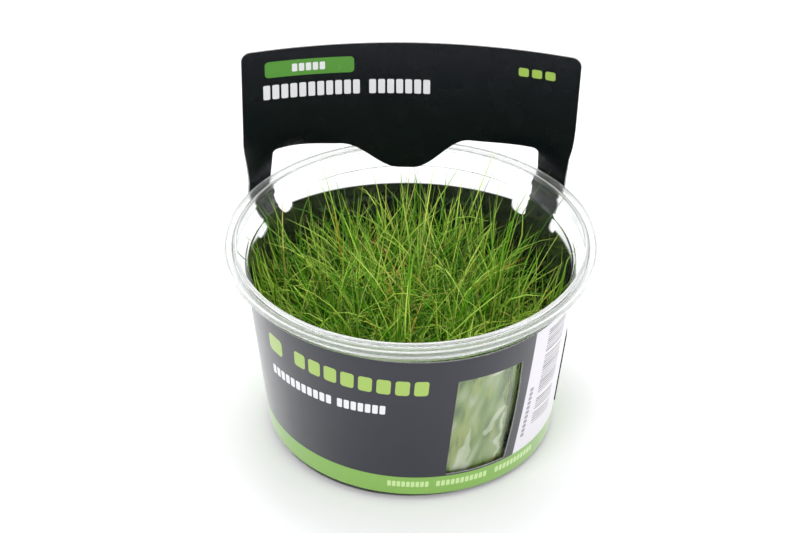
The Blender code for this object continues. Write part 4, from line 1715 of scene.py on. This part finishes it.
        mesh = bpy.data.meshes.new(name)
        mesh.from_pydata(np.concatenate([tube, tips]).tolist(), [], faces)
        values = np.concatenate([np.repeat(tint, rings * sides), tint])
        places = np.concatenate([np.tile(np.repeat(along, sides), count), np.ones(count)])
        for label, numbers in ((self.TINT, values), (self.ALONG, places)):
            mesh.attributes.new(label, "FLOAT", "POINT").data.foreach_set("value", numbers.astype(np.float32))
        mesh.shade_smooth()
        return mesh

    def pressed_lines(self, chance: np.random.Generator) -> np.ndarray:
        """Centre lines of the blades that lie on the wall where the film has run off it.

        Args:
            chance: the source of chance.

        Returns:
            Points as an array of (blade, stage, xyz).
        """
        count = self.pressed
        part = np.linspace(0, 1, self.stages + 1)
        start = np.linspace(*self.pressed_from, count)
        lean = chance.uniform(*self.pressed_lean, count)
        low = chance.uniform(*self.pressed_foot, count)
        high = low + chance.uniform(*self.pressed_rise, count)
        height = low[:, None] + (high - low)[:, None] * part[None, :]
        turn = np.radians(start[:, None] + lean[:, None] * part[None, :] ** self.pressed_curve)
        depth = chance.uniform(*self.pressed_depth, count)[:, None] * MM
        radius = self.cup.wall_radius(height) - self.cup.wall - depth
        return np.stack([radius * np.sin(turn), -radius * np.cos(turn), height], 2)

    def tints(self, count: int, chance: np.random.Generator) -> np.ndarray:
        """Pick each blade's place on the colour ramp: greens, with a few straw-coloured and old ones.

        Args:
            count: how many blades there are.
            chance: the source of chance.

        Returns:
            The places, from 0 to 1.
        """
        tint = np.clip(chance.normal(*self.green, count), 0.0, GrassBlade.bright_at)
        kind = chance.random(count)
        tint[kind < self.straw_share] = GrassBlade.straw_at
        tint[kind < self.old_share] = 1.0
        return tint

    def build(self) -> list[Piece]:
        """Make every tuft.

        Returns:
            The tufts' objects.
        """
        material = GrassBlade().material()
        tufts = []
        for number, centre in enumerate(self.places(), start=1):
            chance = np.random.default_rng(self.seed + number)
            points = self.lines(centre, chance)
            mesh = self.blade_mesh(f"blades_{number:02d}", points, self.tints(len(points), chance), chance)
            tuft = link_piece(f"grass_tuft_{number:02d}", mesh, [material])
            hand_over(tuft, Slot.GRASS, f"tuft_{number:02d}")
            tufts.append(tuft)
        chance = np.random.default_rng(self.wall_seed)
        points = self.pressed_lines(chance)
        # Painted light: brighter tints for the blades on the wall.
        mesh = self.blade_mesh("pressed", points, chance.uniform(*self.pressed_lit_tint, self.pressed), chance)
        pressed = link_piece("blades_on_wall", mesh, [material])
        hand_over(pressed, Slot.GRASS)
        return tufts + [pressed]


@dataclass
class Studio:
    """The plain pale floor, the soft lights and the camera."""

    floor_size: float = 6.0
    sky: float = 1.17
    sky_colour: Colour = (1.0, 1.0, 1.0)
    softboxes: tuple[tuple[Three, float, float], ...] = (
        ((-0.05, 0.3, 1.0), 0.4, 3.0),
        ((-0.7, -0.9, 0.5), 0.8, 1.8),
        ((0.9, -0.45, 0.35), 0.6, 0.9),
    )
    lens: float = 135.0
    sensor: float = 36.0
    elevation: float = 35.08
    roll: float = 0.21
    distance: float = 842.86 * MM
    aside: float = -2.75 * MM
    rise: float = 39.45 * MM
    base: float = 1.3 * MM

    def build_floor(self) -> Piece:
        """Make the floor.

        Returns:
            The floor's object.
        """
        half = self.floor_size / 2
        bm = bmesh.new()
        square = ((-half, -half), (half, -half), (half, half), (-half, half))
        bm.faces.new([bm.verts.new((x, y, 0)) for x, y in square])
        bmesh.ops.subdivide_edges(bm, edges=bm.edges, cuts=3, use_grid_fill=True)
        floor = link_piece("studio_floor", take_mesh("floor", bm), [StudioPaper().material()])
        floor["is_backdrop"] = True
        return floor

    def build_lights(self) -> None:
        """Set the white surroundings and hang the soft lights."""
        world = bpy.data.worlds.new("white_room")
        world.use_nodes = True
        background = world.node_tree.nodes["Background"]
        background.inputs["Color"].default_value = (*self.sky_colour, 1.0)
        background.inputs["Strength"].default_value = self.sky
        bpy.context.scene.world = world
        for number, (place, size, power) in enumerate(self.softboxes, start=1):
            light = bpy.data.lights.new(f"softbox_{number}", "AREA")
            light.size = size
            light.energy = power
            obj = bpy.data.objects.new(f"softbox_{number}", light)
            obj.location = place
            obj.rotation_euler = (-Vector(place)).to_track_quat("-Z", "Y").to_euler()
            bpy.context.scene.collection.objects.link(obj)
        bpy.context.scene.view_settings.view_transform = "Standard"

    def build_camera(self) -> Piece:
        """Place the camera as the photograph was taken.

        Returns:
            The camera's object.
        """
        down = math.radians(self.elevation)
        turn = math.radians(self.roll)
        forward = Vector((0, math.cos(down), -math.sin(down)))
        right = Vector((1, 0, 0))
        up = right.cross(forward)
        right, up = (
            math.cos(turn) * right + math.sin(turn) * up,
            math.cos(turn) * up - math.sin(turn) * right,
        )
        data = bpy.data.cameras.new("camera")
        data.lens = self.lens
        data.sensor_width = self.sensor
        camera = bpy.data.objects.new("camera", data)
        place = Vector((self.aside, 0, self.base)) - self.distance * forward + self.rise * up
        camera.matrix_world = Matrix.Translation(place) @ Matrix((right, up, -forward)).transposed().to_4x4()
        bpy.context.scene.collection.objects.link(camera)
        bpy.context.scene.camera = camera
        return camera


def corners(box: tuple[Vector, Vector]) -> list[list[float]]:
    """A box's two corners as plain lists."""
    return [[round(value, 6) for value in corner] for corner in box]


def main() -> None:
    """Build the studio and every piece in order, and keep the sizes before and after."""
    logging.basicConfig(level=logging.INFO, format="%(name)s %(message)s")
    packed = corners(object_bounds())
    studio = Studio()
    studio.build_floor()
    studio.build_lights()
    studio.build_camera()
    cup = Cup()
    cup.build()
    Sleeve(cup).build()
    gel = Gel(cup)
    gel.build_block()
    gel.build_film()
    Grass(cup).build()
    dressed = corners(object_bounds())
    LOG.info("packed box %s, dressed box %s", packed, dressed)


if __name__ == "__main__":
    main()
